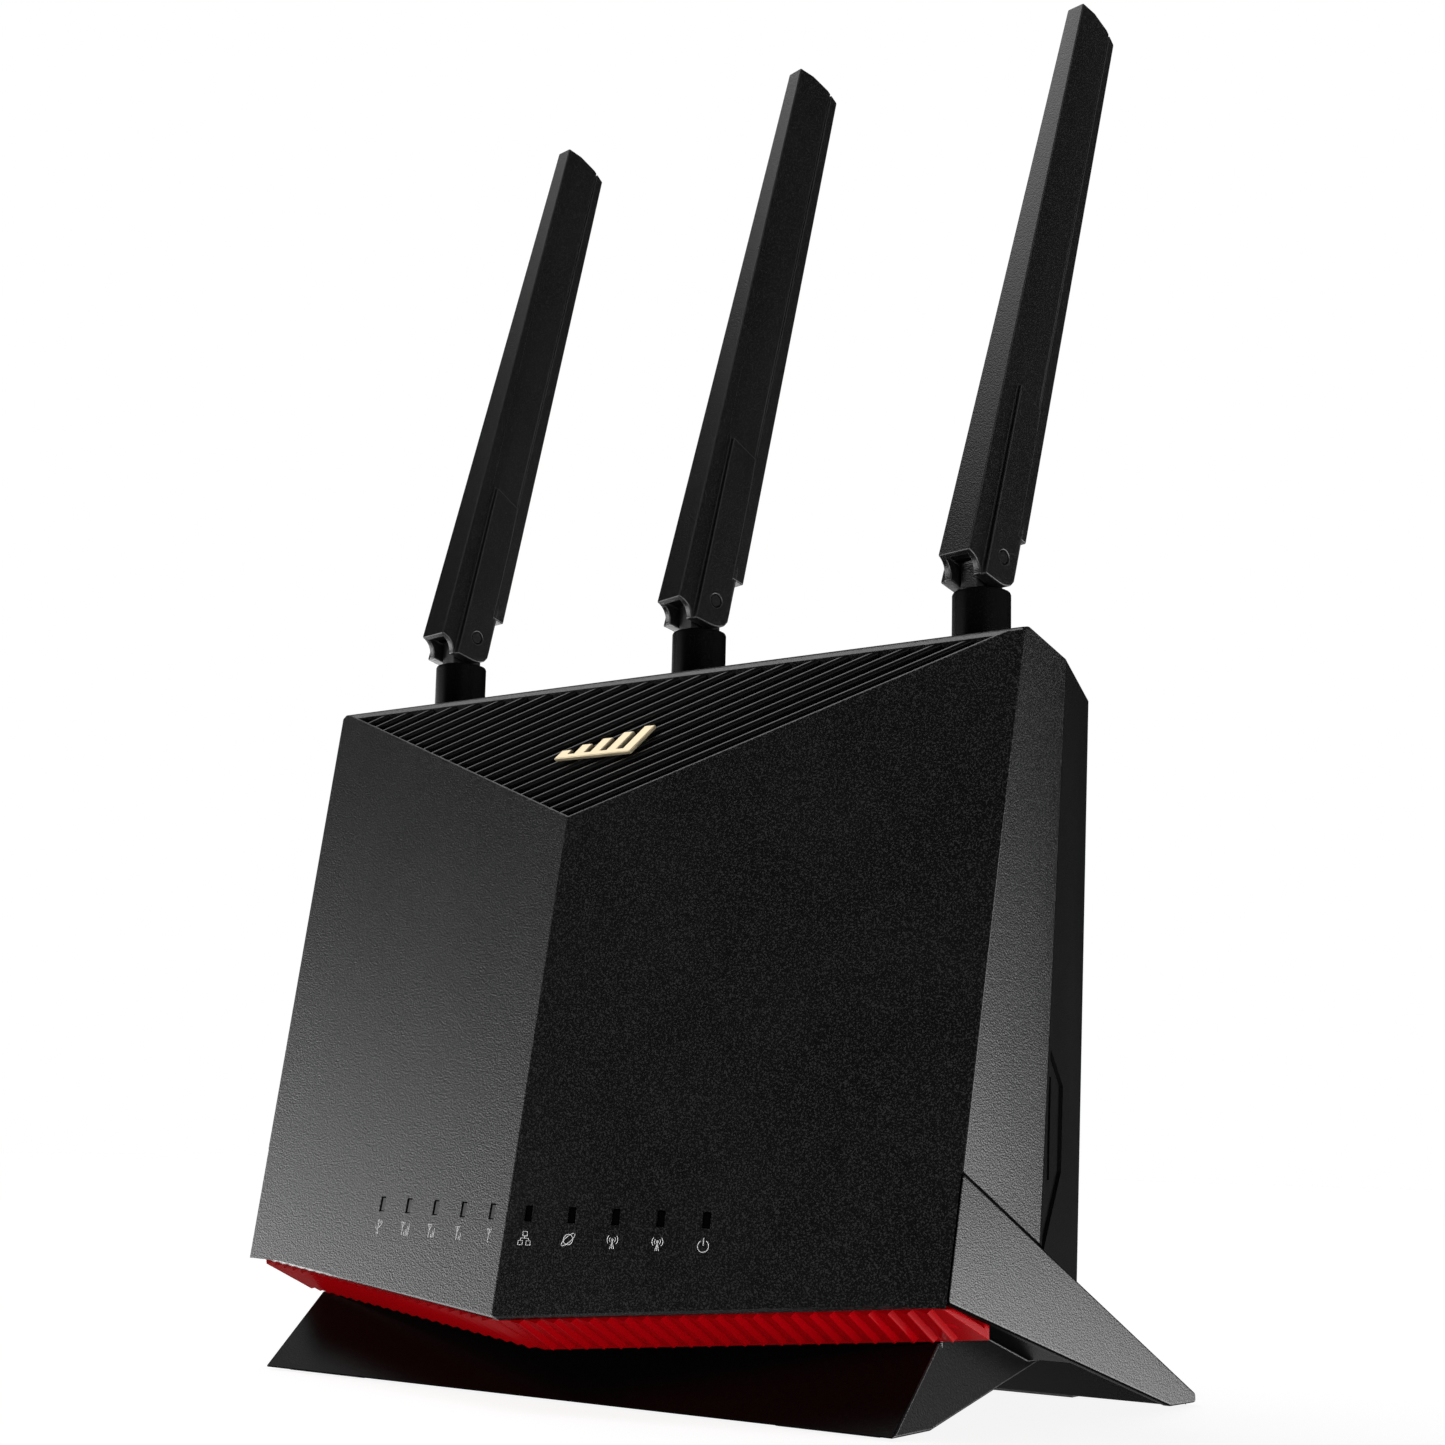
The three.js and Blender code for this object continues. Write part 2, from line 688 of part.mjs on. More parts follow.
// Slanted slots through the chin, mirrored about the ridge.
function louvreSpaces() {
  const low = ridgeFootHeight - chinDrop - 2;
  const high = floorHeight - gap - 2 * louvreSheet;
  const count = Math.floor((halfWidth - louvreMargin) / louvrePitch);
  return bothSides.flatMap((side) =>
    Array.from({ length: count }, (_, index) => {
      const x = 1.5 + index * louvrePitch;
      const nearY = back(-ridgeReach);
      const farY = back(0);
      const shift = (farY - nearY) * 0.75;
      const plan = [
        [side * x, nearY],
        [side * (x + louvreGap), nearY],
        [side * (x + louvreGap + shift), farY],
        [side * (x + shift), farY],
      ];
      const slot = solidOf(
        new THREE.ExtrudeGeometry(new THREE.Shape(plan.map(([px, py]) => new THREE.Vector2(px, py))), {
          depth: high - low,
          bevelEnabled: false,
        }),
      );
      return moved(slot, 0, 0, low).intersect(halfSpaceOf(side));
    }),
  );
}

const halfSpaceOf = (side) =>
  keepInside(everything(), [new THREE.Plane(point(-side, 0, 0), louvreMargin / 2)]);

function lightPipe(side) {
  const first = windowFrame(side, 0);
  const length = (windowCount - 1) * windowPitch + windowWidth;
  // The frame's level axis turns away from +X with the facet, so the bar is longer than its span in X.
  const level = new THREE.Vector3().setFromMatrixColumn(first, 0);
  const start = -side * (windowWidth / 2 + pipeMargin);
  const end = side * (length / Math.abs(level.x) - windowWidth / 2 + pipeMargin);
  const half = windowLength / 2 + pipeMargin;
  const outline = [
    [Math.min(start, end), -half],
    [Math.max(start, end), -half],
    [Math.max(start, end), half],
    [Math.min(start, end), half],
  ];
  const bar = drawnOnFrame(outline, first, -wall - gap - pipeDepth, -wall - gap);
  const fingers = eachWindow(side, (s, index) =>
    windowSlot(s, index, 0, -wall - gap - pipeDepth / 2, -windowRecess),
  );
  return join(bar, ...fingers);
}

// ---- Stand and feet ----

const deckHeight = floorHeight - gap;
const deckRearY = () => {
  const [front, rear] = wingLine(0);
  return front[0] + ((deckHeight - front[1]) * (rear[0] - front[0])) / (rear[1] - front[1]);
};
const footEdgeY = back(-frontFootReach);
const legFrontY = (z) => footEdgeY + frontLegSlope * (z - standLift);

function stand() {
  const rearEnd = back(standBack);
  const core = drawnAlongX(
    [
      [footEdgeY, standLift],
      [footEdgeY + frontFootDepth, standLift],
      [back(apexBack), apexHeight],
      [back(rearFootBack), standLift],
      [rearEnd - 0.6, standLift],
      [rearEnd, standLift + 0.6],
      [rearEnd, heightOnWingLine(rearEnd)],
      [deckRearY(), deckHeight],
      [legFrontY(deckHeight), deckHeight],
    ],
    -legWidth / 2,
    legWidth / 2,
  );
  const flangeFront = back(-8);
  const archMeetsY = back(30.5);
  const flange = drawnAlongX(
    [
      [flangeFront, heightUnderWing(flangeFront) + wingFlange],
      [archMeetsY, apexHeight],
      [back(apexBack), apexHeight],
      [back(rearFootBack), standLift],
      [rearEnd - 0.6, standLift],
      [rearEnd, standLift + 0.6],
      [rearEnd, heightOnWingLine(rearEnd)],
      [deckRearY(), deckHeight],
      [flangeFront, deckHeight],
    ],
    -reach,
    reach,
  );
  const flanges = keepInside(flange, sideWalls(0));
  const lowLine = new THREE.Plane().setFromCoplanarPoints(
    point(0, wingLowFront.y, wingLowFront.z),
    point(1, wingLowFront.y, wingLowFront.z),
    point(0, back(rearFootBack - 3.4), wingFootHeight),
  );
  const wingFloor = lowLine.normal.z < 0 ? lowLine : lowLine.negate();
  const wings = bothSides.map((side) =>
    keepInside(everything(), [
      belowWingLine(0),
      wingFloor,
      sidePlane(side),
      flipped(inset(sidePlane(side), wingThickness)),
      flipped(mitrePlane(side, 0)),
      groundedPlane(standLift),
      new THREE.Plane(point(0, 1, 0), -rearEnd),
    ]),
  );
  const pocketTop = deckHeight + 2;
  const pocketRear = deckRearY() - standWall;
  const underApex = (y) =>
    standLift + ((apexHeight - standLift) * (y - footEdgeY - frontFootDepth)) / (apexBack + frontFootReach - frontFootDepth);
  const pocketFloor = Math.max(underApex(pocketRear), standLift) + standWall;
  const pocketLow = standLift + standWall;
  const pocketOutline = [
    [legFrontY(pocketLow) + standWall * 1.5, pocketLow],
    [footEdgeY + frontFootDepth, pocketLow],
    [pocketRear, pocketFloor],
    [pocketRear, pocketTop],
    [legFrontY(pocketTop) + standWall * 1.5, pocketTop],
  ];
  const bays = 3;
  const bay = (legWidth - standWall) / bays;
  const pockets = Array.from({ length: bays }, (_, index) => {
    const x0 = -legWidth / 2 + standWall + index * bay;
    return drawnAlongX(pocketOutline, x0, x0 + bay - standWall);
  });
  const footHoles = footPlaces().map(({ x, y }) => footBlock(x, y, gap, 0, footSize.recess + standLift + gap));
  const chin = keepInside(everything(), [...sideWalls(wingThickness), ...chinPlanes(-gap)]);
  const chinRoom = cut(chin, chinBehind(gap));
  return cut(join(core, flanges, ...wings), ...pockets, ...footHoles, chinRoom);
}

function footPlaces() {
  const x = legWidth / 2 - footSize.inset;
  const frontY = footEdgeY + frontFootDepth / 2;
  const rearY2 = back((rearFootBack + standBack) / 2);
  return [
    { name: "foot_front_left", x: -x, y: frontY },
    { name: "foot_front_right", x, y: frontY },
    { name: "foot_rear_left", x: -x, y: rearY2 },
    { name: "foot_rear_right", x, y: rearY2 },
  ];
}

const rearFootWidth = standBack - rearFootBack - 3;

function footBlock(x, y, grow, from, to) {
  const halfL = footSize.length / 2 + grow;
  const depth = y > 0 ? Math.min(footSize.width, rearFootWidth) : footSize.width;
  const halfW = depth / 2 + grow;
  return block(x - halfL, x + halfL, y - halfW, y + halfW, from, to);
}

const foot = ({ x, y }) => footBlock(x, y, 0, 0, standLift + footSize.recess);

// ---- Boards and ports ----

const onBoardRear = (x, z, width, height, y1) =>
  block(x - width / 2, x + width / 2, boardRearY + gap, y1, z - height / 2, z + height / 2);
const onBoardFront = ({ place, drop, width, height, depth }, from = 0) =>
  block(
    place - width / 2,
    place + width / 2,
    boardFrontY - gap - from - depth,
    boardFrontY - gap - from,
    boardTop - drop - height / 2,
    boardTop - drop + height / 2,
  );

function mainBoard() {
  const board = block(-boardHalf, boardHalf, boardFrontY, boardRearY, boardLow, boardTop);
  const tabHalf = simSocket.width / 2 + 3;
  const tab = block(0, simInnerX() - 1, boardFrontY, boardRearY, simHeight - tabHalf, simHeight + tabHalf);
  const holes = boardScrewPlaces().map(([x, z]) =>
    barAlongY(screw.radius + gap, boardFrontY - 1, boardRearY + 1, x, z, 16),
  );
  return cut(join(board, tab), ...holes);
}

// The inner face of the right-hand band, level with the SIM slot.
function simInnerX() {
  const plane = inset(bandPlane(1), wall + gap);
  const y = boardFrontY;
  return -(plane.constant + plane.normal.y * y + plane.normal.z * (simHeight - simSocket.width)) / plane.normal.x - 1;
}

function simHolder() {
  const x1 = simInnerX() - 1;
  const y1 = boardFrontY - gap;
  const y0 = y1 - simSocket.thick;
  const half = simSocket.width / 2;
  const body = block(x1 - simSocket.depth, x1, y0, y1, simHeight - half, simHeight + half);
  const cardHalf = simCard.width / 2 + gap / 2;
  const middle = (y0 + y1) / 2;
  const cardThick = simCard.thick / 2 + gap / 2;
  const mouth = block(
    x1 - simSocket.depth + 2,
    x1 + 1,
    middle - cardThick,
    middle + cardThick,
    simHeight - cardHalf,
    simHeight + cardHalf,
  );
  return cut(body, mouth);
}

function networkSocket(x) {
  const { width, height, holeWidth, holeHeight, holeDepth } = socket;
  const face = boardRearY + portDepth;
  const body = onBoardRear(x, portRow, width, height, face);
  const halfW = holeWidth / 2;
  const halfH = holeHeight / 2;
  const hole = block(x - halfW, x + halfW, face - holeDepth, face + 1, portRow - halfH, portRow + halfH);
  const latch = block(x - 3, x + 3, face - holeDepth, face + 1, portRow - halfH - 2, portRow);
  return cut(body, hole, latch);
}

function usbSocket() {
  const { width, height, holeWidth, holeHeight, holeDepth, tongue } = usb;
  const face = boardRearY + portDepth;
  const body = onBoardRear(usbPlace, portRow, width, height, face);
  const inFace = (halfW, halfH, from, shift = 0) =>
    block(
      usbPlace + shift - halfW,
      usbPlace + shift + halfW,
      face - holeDepth + from,
      face + 1,
      portRow - halfH,
      portRow + halfH,
    );
  const hole = inFace(holeWidth / 2, holeHeight / 2, 0);
  const blade = keepInside(inFace(tongue / 2, holeHeight / 2 - 1, -1, 0.8), [
    new THREE.Plane(point(0, 1, 0), -(face - 1)),
  ]);
  return join(cut(body, hole), blade);
}

function dcJack() {
  const face = boardRearY + portDepth;
  const body = onBoardRear(dcPlace, portRow, dc.size, dc.size, face);
  const hole = barAlongY(dc.holeRadius, face - dc.holeDepth, face + 1, dcPlace, portRow);
  const pin = barAlongY(dc.pinRadius, face - dc.holeDepth - 1, face - 1, dcPlace, portRow, 12);
  return join(cut(body, hole), pin);
}

function button({ place, radius, proud, travel }) {
  const innerFace = rearY - wall - gap;
  const cap = barAlongY(radius, innerFace - buttonCollar.thick, rearY + proud, place, portRow);
  const collar = barAlongY(
    radius + buttonCollar.over,
    innerFace - buttonCollar.thick,
    innerFace,
    place,
    portRow,
  );
  const stem = barAlongY(
    Math.min(radius, 1.8),
    innerFace - buttonCollar.thick - buttonStem - travel,
    innerFace - buttonCollar.thick,
    place,
    portRow,
    16,
  );
  return join(cap, collar, stem);
}

function finnedHeatsink() {
  const base = onBoardFront({ ...heatsink, depth: heatsink.base }, cpuShield.depth + gap);
  const foot0 = boardFrontY - 2 * gap - cpuShield.depth - heatsink.base;
  const step = (heatsink.width - heatsink.finThick) / (heatsink.fins - 1);
  const fins = Array.from({ length: heatsink.fins }, (_, index) => {
    const x = heatsink.place - heatsink.width / 2 + index * step;
    return block(
      x,
      x + heatsink.finThick,
      foot0 - heatsink.fin,
      foot0 + 1,
      boardTop - heatsink.drop - heatsink.height / 2,
      boardTop - heatsink.drop + heatsink.height / 2,
    );
  });
  return join(base, ...fins);
}

// ---- Screws ----

// A pan-head screw along Y. Its head's underside is at y, and towards is +1 or -1, the shaft's way.
function screwAt(x, y, z, towards, grip) {
  const head = barAlongY(
    screw.headRadius,
    Math.min(y, y - towards * screw.headHeight),
    Math.max(y, y - towards * screw.headHeight),
    x,
    z,
    20,
  );
  const root = y - towards * (screw.headHeight - screw.recessDepth) * 0.5;
  const shaft = barAlongY(
    screw.radius,
    Math.min(root, y + towards * grip),
    Math.max(root, y + towards * grip),
    x,
    z,
    12,
  );
  const outer = y - towards * screw.headHeight;
  const inner = outer + towards * screw.recessDepth;
  const recess = barAlongY(screw.recess, Math.min(outer - towards, inner), Math.max(outer - towards, inner), x, z, 6);
  return cut(join(head, shaft), recess);
}

const coverScrew = ([x, z]) =>
  screwAt(x, wellFloorY + wellFloor + gap, z, -1, wellFloor + gap + gap + screwGrip);
const boardScrew = ([x, z]) => screwAt(x, boardFrontY - gap, z, 1, boardThickness + gap + gap + screwGrip - 1);

// ---- Antennas. Each is drawn about its pivot: x across the blade, y to the back, z along it. ----

function jackAt(x) {
  const headTop = topHeightAt(antennaY) - wall - (topFall * bossRadius) / bodyDepth - 2 * gap;
  const thread = roundBar(jackRadius, headTop - jackHead.height - jackHead.tail, bossTop + jackReach);
  const head = roundBar(jackHead.radius, headTop - jackHead.height, headTop, 6);
  return moved(join(thread, head), x, antennaY, 0);
}

function collarNut() {
  const bore = jackRadius + gap;
  const mouth = neckRadius + gap;
  const low = nutBottom - pivotHeight;
  const high = nutTop - pivotHeight;
  const seat = high - neckDepth - gap;
  return turned([
    [bore, low],
    [nutRadius - nutRound / 2, low],
    [nutRadius, low + nutRound / 2],
    [nutRadius, high - nutRound],
    [nutRadius - nutRound * 0.3, high - nutRound * 0.3],
    [nutRadius - nutRound, high],
    [mouth, high],
    [mouth, seat],
    [bore, seat],
    [bore, low],
  ]);
}

function knuckle() {
  const stemLow = bossTop + jackReach + gap - pivotHeight;
  const neckTop = -cheekRadius - gap;
  const neckLow = -pivotRise - neckDepth;
  const stem = join(roundBar(jackRadius, stemLow, neckLow + 0.5), roundBar(neckRadius, neckLow, neckTop));
  const round = turnedBy(roundBar(lugRadius, -lugHalf, lugHalf), alongX);
  const webHalf = lugRadius * 0.95;
  const web = block(-lugHalf, lugHalf, -webHalf, webHalf, neckTop - 0.15, 0);
  const bore = turnedBy(roundBar(pinRadius + gap, -lugHalf - 1, lugHalf + 1, 16), alongX);
  return cut(join(stem, round, web), bore);
}

const hingePin = () => turnedBy(roundBar(pinRadius, -pinHalfLength, pinHalfLength, 16), alongX);

// Half the blade's sections, as [y, half thickness], at its foot and at its tip.
const bladeFoot = { z: -cheekRadius, front: [-10.3, 4.7], crease: [-3.6, 5.8], heel: [3.4, 5.6], rear: [9.1, 4.85] };
const bladeTip = { front: [-7.6, 2.5], crease: [-3.2, 3.1], heel: [2.6, 3.1], rear: [6.9, 2.5] };
const tipDrop = 2.6; // the tip's rear corner is lower
const notchHeight = 8.4; // the rear strip starts above the nut when the blade is level
const splitBack = 4; // the two shells meet here
const panelTop = 45.4;

function bladeBlank() {
  const section = ({ front, crease, heel, rear }, heightOf) =>
    [front, crease, heel, rear].flatMap(([y, half]) => [
      point(half, y, heightOf(y)),
      point(-half, y, heightOf(y)),
    ]);
  const tipSpan = bladeTip.rear[0] - bladeTip.front[0];
  const tipHeight = (y) => bladeLength - tipDrop * ((y - bladeTip.front[0]) / tipSpan) ** 2;
  return hullOf([...section(bladeFoot, () => bladeFoot.z), ...section(bladeTip, tipHeight)]);
}

// The raised panels that carry the pin, one on each side of the blade.
function cheekPanel() {
  const corners = [
    [-5.2, -cheekRadius, cheekHalf],
    [-5, panelTop, 5.9],
    [3.4, panelTop - 2.5, 5.9],
    [cheekBack, notchHeight, 6.6],
    [cheekBack, -4, cheekHalf],
    [3.4, -cheekRadius, cheekHalf],
  ];
  return hullOf(corners.flatMap(([y, z, half]) => [point(half, y, z), point(-half, y, z)]));
}

// The knuckle's slot is open below and behind, so that the blade folds back over the nut.
// A window joins it to the hollow under the front edge.
function knuckleSlot() {
  const half = lugHalf + gap;
  const side = lugRadius + gap * 2;
  const slot = block(-half, half, -side, 20, -20, side);
  const scoopWindowTop = bladeFoot.z + scoopRadius;
  const scoopCut = block(-scoopWindow, scoopWindow, bladeFoot.front[0] + 1.6, 0, -20, scoopWindowTop);
  return join(slot, scoopCut);
}

// Room for the nut: the heel is round about the pivot, and the rear strip ends above the nut.
function heelClearance() {
  const behind = block(-20, 20, cheekBack, 20, -20, notchHeight);
  const below = block(-20, 20, 0, 20, -20, 0);
  return join(behind, cut(below, turnedBy(roundBar(cheekRadius, -30, 30, 32), alongX)));
}

// The hollow under the blade's front edge runs right across it.
const scoop = () =>
  moved(
    turnedBy(roundBar(scoopRadius, -10, 10, 28), alongX),
    0,
    bladeFoot.front[0] - 0.2,
    bladeFoot.z - 0.6,
  );

function shellCavity() {
  const low = 12;
  const high = bladeLength - 12;
  const ends = [
    [low, -7, 3.2],
    [high, -5, 1.3],
  ];
  return hullOf(
    ends.flatMap(([z, y, half]) => [
      point(half, y, z),
      point(-half, y, z),
      point(half, splitBack + 1, z),
      point(-half, splitBack + 1, z),
    ]),
  );
}

const splitPlane = (by) => new THREE.Plane(point(0, 1, 0), -splitBack + by);

function frontShell() {
  const blank = cut(join(bladeBlank(), cheekPanel()), heelClearance());
  const pinBore = turnedBy(roundBar(pinRadius + gap, -cheekHalf - 1, cheekHalf + 1, 16), alongX);
  // Below the notch the front shell carries the whole cheek.
  const behindSplit = keepInside(block(-20, 20, -20, 20, notchHeight - 0.5, reach), [
    flipped(splitPlane(gap / 2)),
  ]);
  return cut(blank, behindSplit, shellCavity(), knuckleSlot(), pinBore, scoop());
}

function backShell() {
  return keepInside(bladeBlank(), [flipped(splitPlane(-gap / 2)), groundedPlane(notchHeight + gap)]);
}

function radiatorStrip() {
  const length = { from: 16, to: bladeLength - 22 };
  return block(-0.4, 0.4, -4, 2, length.from, length.to);
}

// ---- Materials and assembly ----

function material(color, roughness, metalness = 0) {
  return new THREE.MeshStandardMaterial({ color, roughness, metalness });
}

const housingBlack = material(0x2b2b2c, 0.62);
const coverDark = material(0x1a1a1b, 0.7);
const standGrey = material(0x323233, 0.6);
const antennaBlack = material(0x1f1f20, 0.55);
const redPlastic = material(0xb50f14, 0.35);
const gold = material(0xd8c27a, 0.3, 1);
const clear = material(0xdfe6ea, 0.2);
const rubber = material(0x121212, 0.9);
const boardGreen = material(0x0f5132, 0.6);
const aluminium = material(0xb9bcc0, 0.4, 1);
const steel = material(0xa8abb0, 0.35, 1);
const tinned = material(0xc9cbce, 0.4, 1);
const brass = material(0xc9a24a, 0.35, 1);
const portBlack = material(0x161617, 0.5);
const buttonGrey = material(0x3a3a3c, 0.5);

const router = new THREE.Group();

function add(name, solid, finish, parent = router) {
  const mesh = new THREE.Mesh(geometryOf(solid), finish);
  mesh.name = name;
  parent.add(mesh);
}

add("front_cover", frontCover(), housingBlack);
add("rear_cover", rearCover(), coverDark);
add("top_grille", topGrille(), coverDark);
add("badge", badgeMark(), gold);
add("light_pipe_left", lightPipe(-1), clear);
add("light_pipe_right", lightPipe(1), clear);
add("bottom_grille", bottomGrille(), redPlastic);
add("stand", stand(), standGrey);
footPlaces().forEach((place) => add(place.name, foot(place), rubber));

add("main_board", mainBoard(), boardGreen);
add("cpu_shield", onBoardFront(cpuShield), tinned);
add("heatsink", finnedHeatsink(), aluminium);
add("radio_shield", onBoardFront(radioShield), tinned);
add("cellular_module", onBoardFront(cellular), tinned);
add("sim_socket", simHolder(), tinned);
add("wan_port", networkSocket(wanPlace), tinned);
lanPlaces.forEach((x, index) => add(`lan_port_${index + 1}`, networkSocket(x), portBlack));
add("usb_port", usbSocket(), tinned);
add("dc_jack", dcJack(), portBlack);
Object.entries(buttons).forEach(([name, shape]) => add(`${name}_button`, button(shape), buttonGrey));
coverScrewPlaces().forEach((place, index) => add(`cover_screw_${index + 1}`, coverScrew(place), steel));
boardScrewPlaces().forEach((place, index) => add(`board_screw_${index + 1}`, boardScrew(place), steel));

Object.entries(antennaPlaces()).forEach(([side, x]) => {
  add(`jack_${side}`, jackAt(x), brass);
  const swivel = new THREE.Group();
  swivel.position.set(x, antennaY, pivotHeight);
  swivel.rotation.z = THREE.MathUtils.degToRad(-swivels[side]);
  const tilt = new THREE.Group();
  tilt.rotation.x = THREE.MathUtils.degToRad(-leans[side]);
  swivel.add(tilt);
  router.add(swivel);
  add(`nut_${side}`, collarNut(), antennaBlack, swivel);
  add(`knuckle_${side}`, knuckle(), antennaBlack, swivel);
  add(`pin_${side}`, hingePin(), steel, tilt);
  add(`front_shell_${side}`, frontShell(), antennaBlack, tilt);
  add(`back_shell_${side}`, backShell(), antennaBlack, tilt);
  add(`radiator_${side}`, radiatorStrip(), brass, tilt);
});

export default router;
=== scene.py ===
import json
import math

import bmesh
import bpy
from mathutils import Matrix, Vector

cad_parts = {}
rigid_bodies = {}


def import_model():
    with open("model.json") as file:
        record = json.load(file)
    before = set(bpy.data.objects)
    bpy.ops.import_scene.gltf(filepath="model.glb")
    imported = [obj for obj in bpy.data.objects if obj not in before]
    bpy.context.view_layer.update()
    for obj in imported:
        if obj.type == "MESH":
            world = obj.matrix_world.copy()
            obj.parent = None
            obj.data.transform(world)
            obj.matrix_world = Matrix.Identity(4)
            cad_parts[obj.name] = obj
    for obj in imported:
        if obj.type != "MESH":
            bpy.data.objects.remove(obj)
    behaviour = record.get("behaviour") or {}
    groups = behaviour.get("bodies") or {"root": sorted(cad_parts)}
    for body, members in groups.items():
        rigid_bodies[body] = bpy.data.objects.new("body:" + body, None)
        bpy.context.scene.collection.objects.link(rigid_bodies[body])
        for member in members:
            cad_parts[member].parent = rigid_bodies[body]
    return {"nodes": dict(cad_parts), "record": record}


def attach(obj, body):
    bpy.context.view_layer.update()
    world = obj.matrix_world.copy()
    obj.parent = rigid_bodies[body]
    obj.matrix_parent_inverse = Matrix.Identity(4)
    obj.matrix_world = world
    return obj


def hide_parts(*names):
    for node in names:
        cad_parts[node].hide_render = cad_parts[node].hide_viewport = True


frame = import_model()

nodes = frame["nodes"]
for thing in list(bpy.data.objects):
    if thing.type in {"MESH", "LIGHT", "CAMERA"} and thing.name not in nodes:
        bpy.data.objects.remove(thing)
bpy.context.view_layer.update()
bodyOf = {node: body for body, group in frame["record"]["behaviour"]["bodies"].items() for node in group}
sides = ("left", "middle", "right")
mm = 0.001


# Camera, light and floor

view = {
    "place": (307.5, -420.95, 60.9),
    "turn": 34.66,
    "climb": 7.79,
    "roll": 1.29,
    "lens": 51.94,
    "lift": 0.0882,
}


def makeCamera():
    turn, climb, roll = (math.radians(view[name]) for name in ("turn", "climb", "roll"))
    ahead = Vector((-math.sin(turn) * math.cos(climb), math.cos(turn) * math.cos(climb), math.sin(climb)))
    level = Vector((math.cos(turn), math.sin(turn), 0))
    upright = level.cross(ahead)
    across = level * math.cos(roll) + upright * math.sin(roll)
    up = upright * math.cos(roll) - level * math.sin(roll)
    data = bpy.data.cameras.new("camera")
    data.lens = view["lens"]
    data.sensor_width = 36
    data.shift_y = view["lift"]
    data.clip_start, data.clip_end = 0.01, 20
    camera = bpy.data.objects.new("camera", data)
    bpy.context.collection.objects.link(camera)
    turned = Matrix((across, up, -ahead)).transposed().to_4x4()
    camera.matrix_world = Matrix.Translation(Vector(view["place"]) * mm) @ turned
    bpy.context.scene.camera = camera
    bpy.context.scene.view_settings.view_transform = "Standard"


# The light all round: two low soft panels left and right of the camera that fade upwards, dark gaps in front
# and behind, little light from below and a small cap overhead
studio = {
    "leftPanel": 5.0,
    "rightPanel": 7.4,
    "leftFade": (-0.04, 0.26),      # sines of the heights where the panel fades out
    "rightFade": (-0.15, 0.05),
    "across": (0.82, 0.57, 0.0),    # from the left panel to the right one
    "seam": 0.2,                    # half the width over which one panel gives way to the other
    "front": ((0.05, -1.0, 0.12), (0.56, 0.86), 0.0),       # direction, cosines of the fade, what is left
    "back": ((0.0, 1.0, 0.0), (0.62, 0.92), 0.0),
    "sky": 0.03,
    "cap": ((-0.45, -0.03, 0.89), (0.88, 0.985), 2.5),      # direction, cosines of the fade, strength
    "ground": (-0.62, -0.3, 0.04),  # sines of the heights of the fade, what is left
}
white = (1, 1, 1, 1)


def combine(tree, how, first, second):
    step = tree.nodes.new("ShaderNodeMath")
    step.operation = how
    for socket, value in zip(step.inputs, (first, second)):
        if isinstance(value, (int, float)):
            socket.default_value = value
        else:
            tree.links.new(value, socket)
    return step.outputs[0]


def remap(tree, source, low, high, atLow=0.0, atHigh=1.0, how="LINEAR"):
    step = tree.nodes.new("ShaderNodeMapRange")
    step.interpolation_type = how
    tree.links.new(source, step.inputs["Value"])
    for name, value in zip(("From Min", "From Max", "To Min", "To Max"), (low, high, atLow, atHigh)):
        step.inputs[name].default_value = value
    return step.outputs[0]


def makeStudio():
    world = bpy.data.worlds.new("studio")
    bpy.context.scene.world = world
    world.use_nodes = True
    tree = world.node_tree
    tree.nodes.clear()
    place = tree.nodes.new("ShaderNodeTexCoord")
    parts = tree.nodes.new("ShaderNodeSeparateXYZ")
    tree.links.new(place.outputs["Generated"], parts.inputs[0])

    def fade(source, low, high, atLow, atHigh):
        return remap(tree, source, low, high, atLow, atHigh, "SMOOTHSTEP")

    def times(first, second):
        return combine(tree, "MULTIPLY", first, second)

    def facing(direction):
        dot = tree.nodes.new("ShaderNodeVectorMath")
        dot.operation = "DOT_PRODUCT"
        tree.links.new(place.outputs["Generated"], dot.inputs[0])
        dot.inputs[1].default_value = Vector(direction).normalized()
        return dot.outputs["Value"]

    height = parts.outputs["Z"]
    toRight = fade(facing(studio["across"]), -studio["seam"], studio["seam"], 0.0, 1.0)
    toLeft = combine(tree, "SUBTRACT", 1.0, toRight)
    left = times(fade(height, *studio["leftFade"], studio["leftPanel"], studio["sky"]), toLeft)
    right = times(fade(height, *studio["rightFade"], studio["rightPanel"], studio["sky"]), toRight)
    light = combine(tree, "ADD", left, right)
    for direction, edges, rest in (studio["front"], studio["back"]):
        light = times(light, fade(facing(direction), *edges, 1.0, rest))
    light = times(light, fade(height, *studio["ground"], 1.0))
    direction, edges, strength = studio["cap"]
    light = combine(tree, "ADD", light, fade(facing(direction), *edges, 0.0, strength))
    lit, plain = (tree.nodes.new("ShaderNodeBackground") for _ in range(2))
    lit.inputs["Color"].default_value = plain.inputs["Color"].default_value = white
    tree.links.new(light, lit.inputs["Strength"])
    ray = tree.nodes.new("ShaderNodeLightPath")
    mix = tree.nodes.new("ShaderNodeMixShader")
    out = tree.nodes.new("ShaderNodeOutputWorld")
    tree.links.new(ray.outputs["Is Camera Ray"], mix.inputs[0])
    tree.links.new(lit.outputs[0], mix.inputs[1])
    tree.links.new(plain.outputs[0], mix.inputs[2])
    tree.links.new(mix.outputs[0], out.inputs["Surface"])


floorLook = {"half": 3.0, "cells": 8, "grey": 0.3, "glow": 0.9}


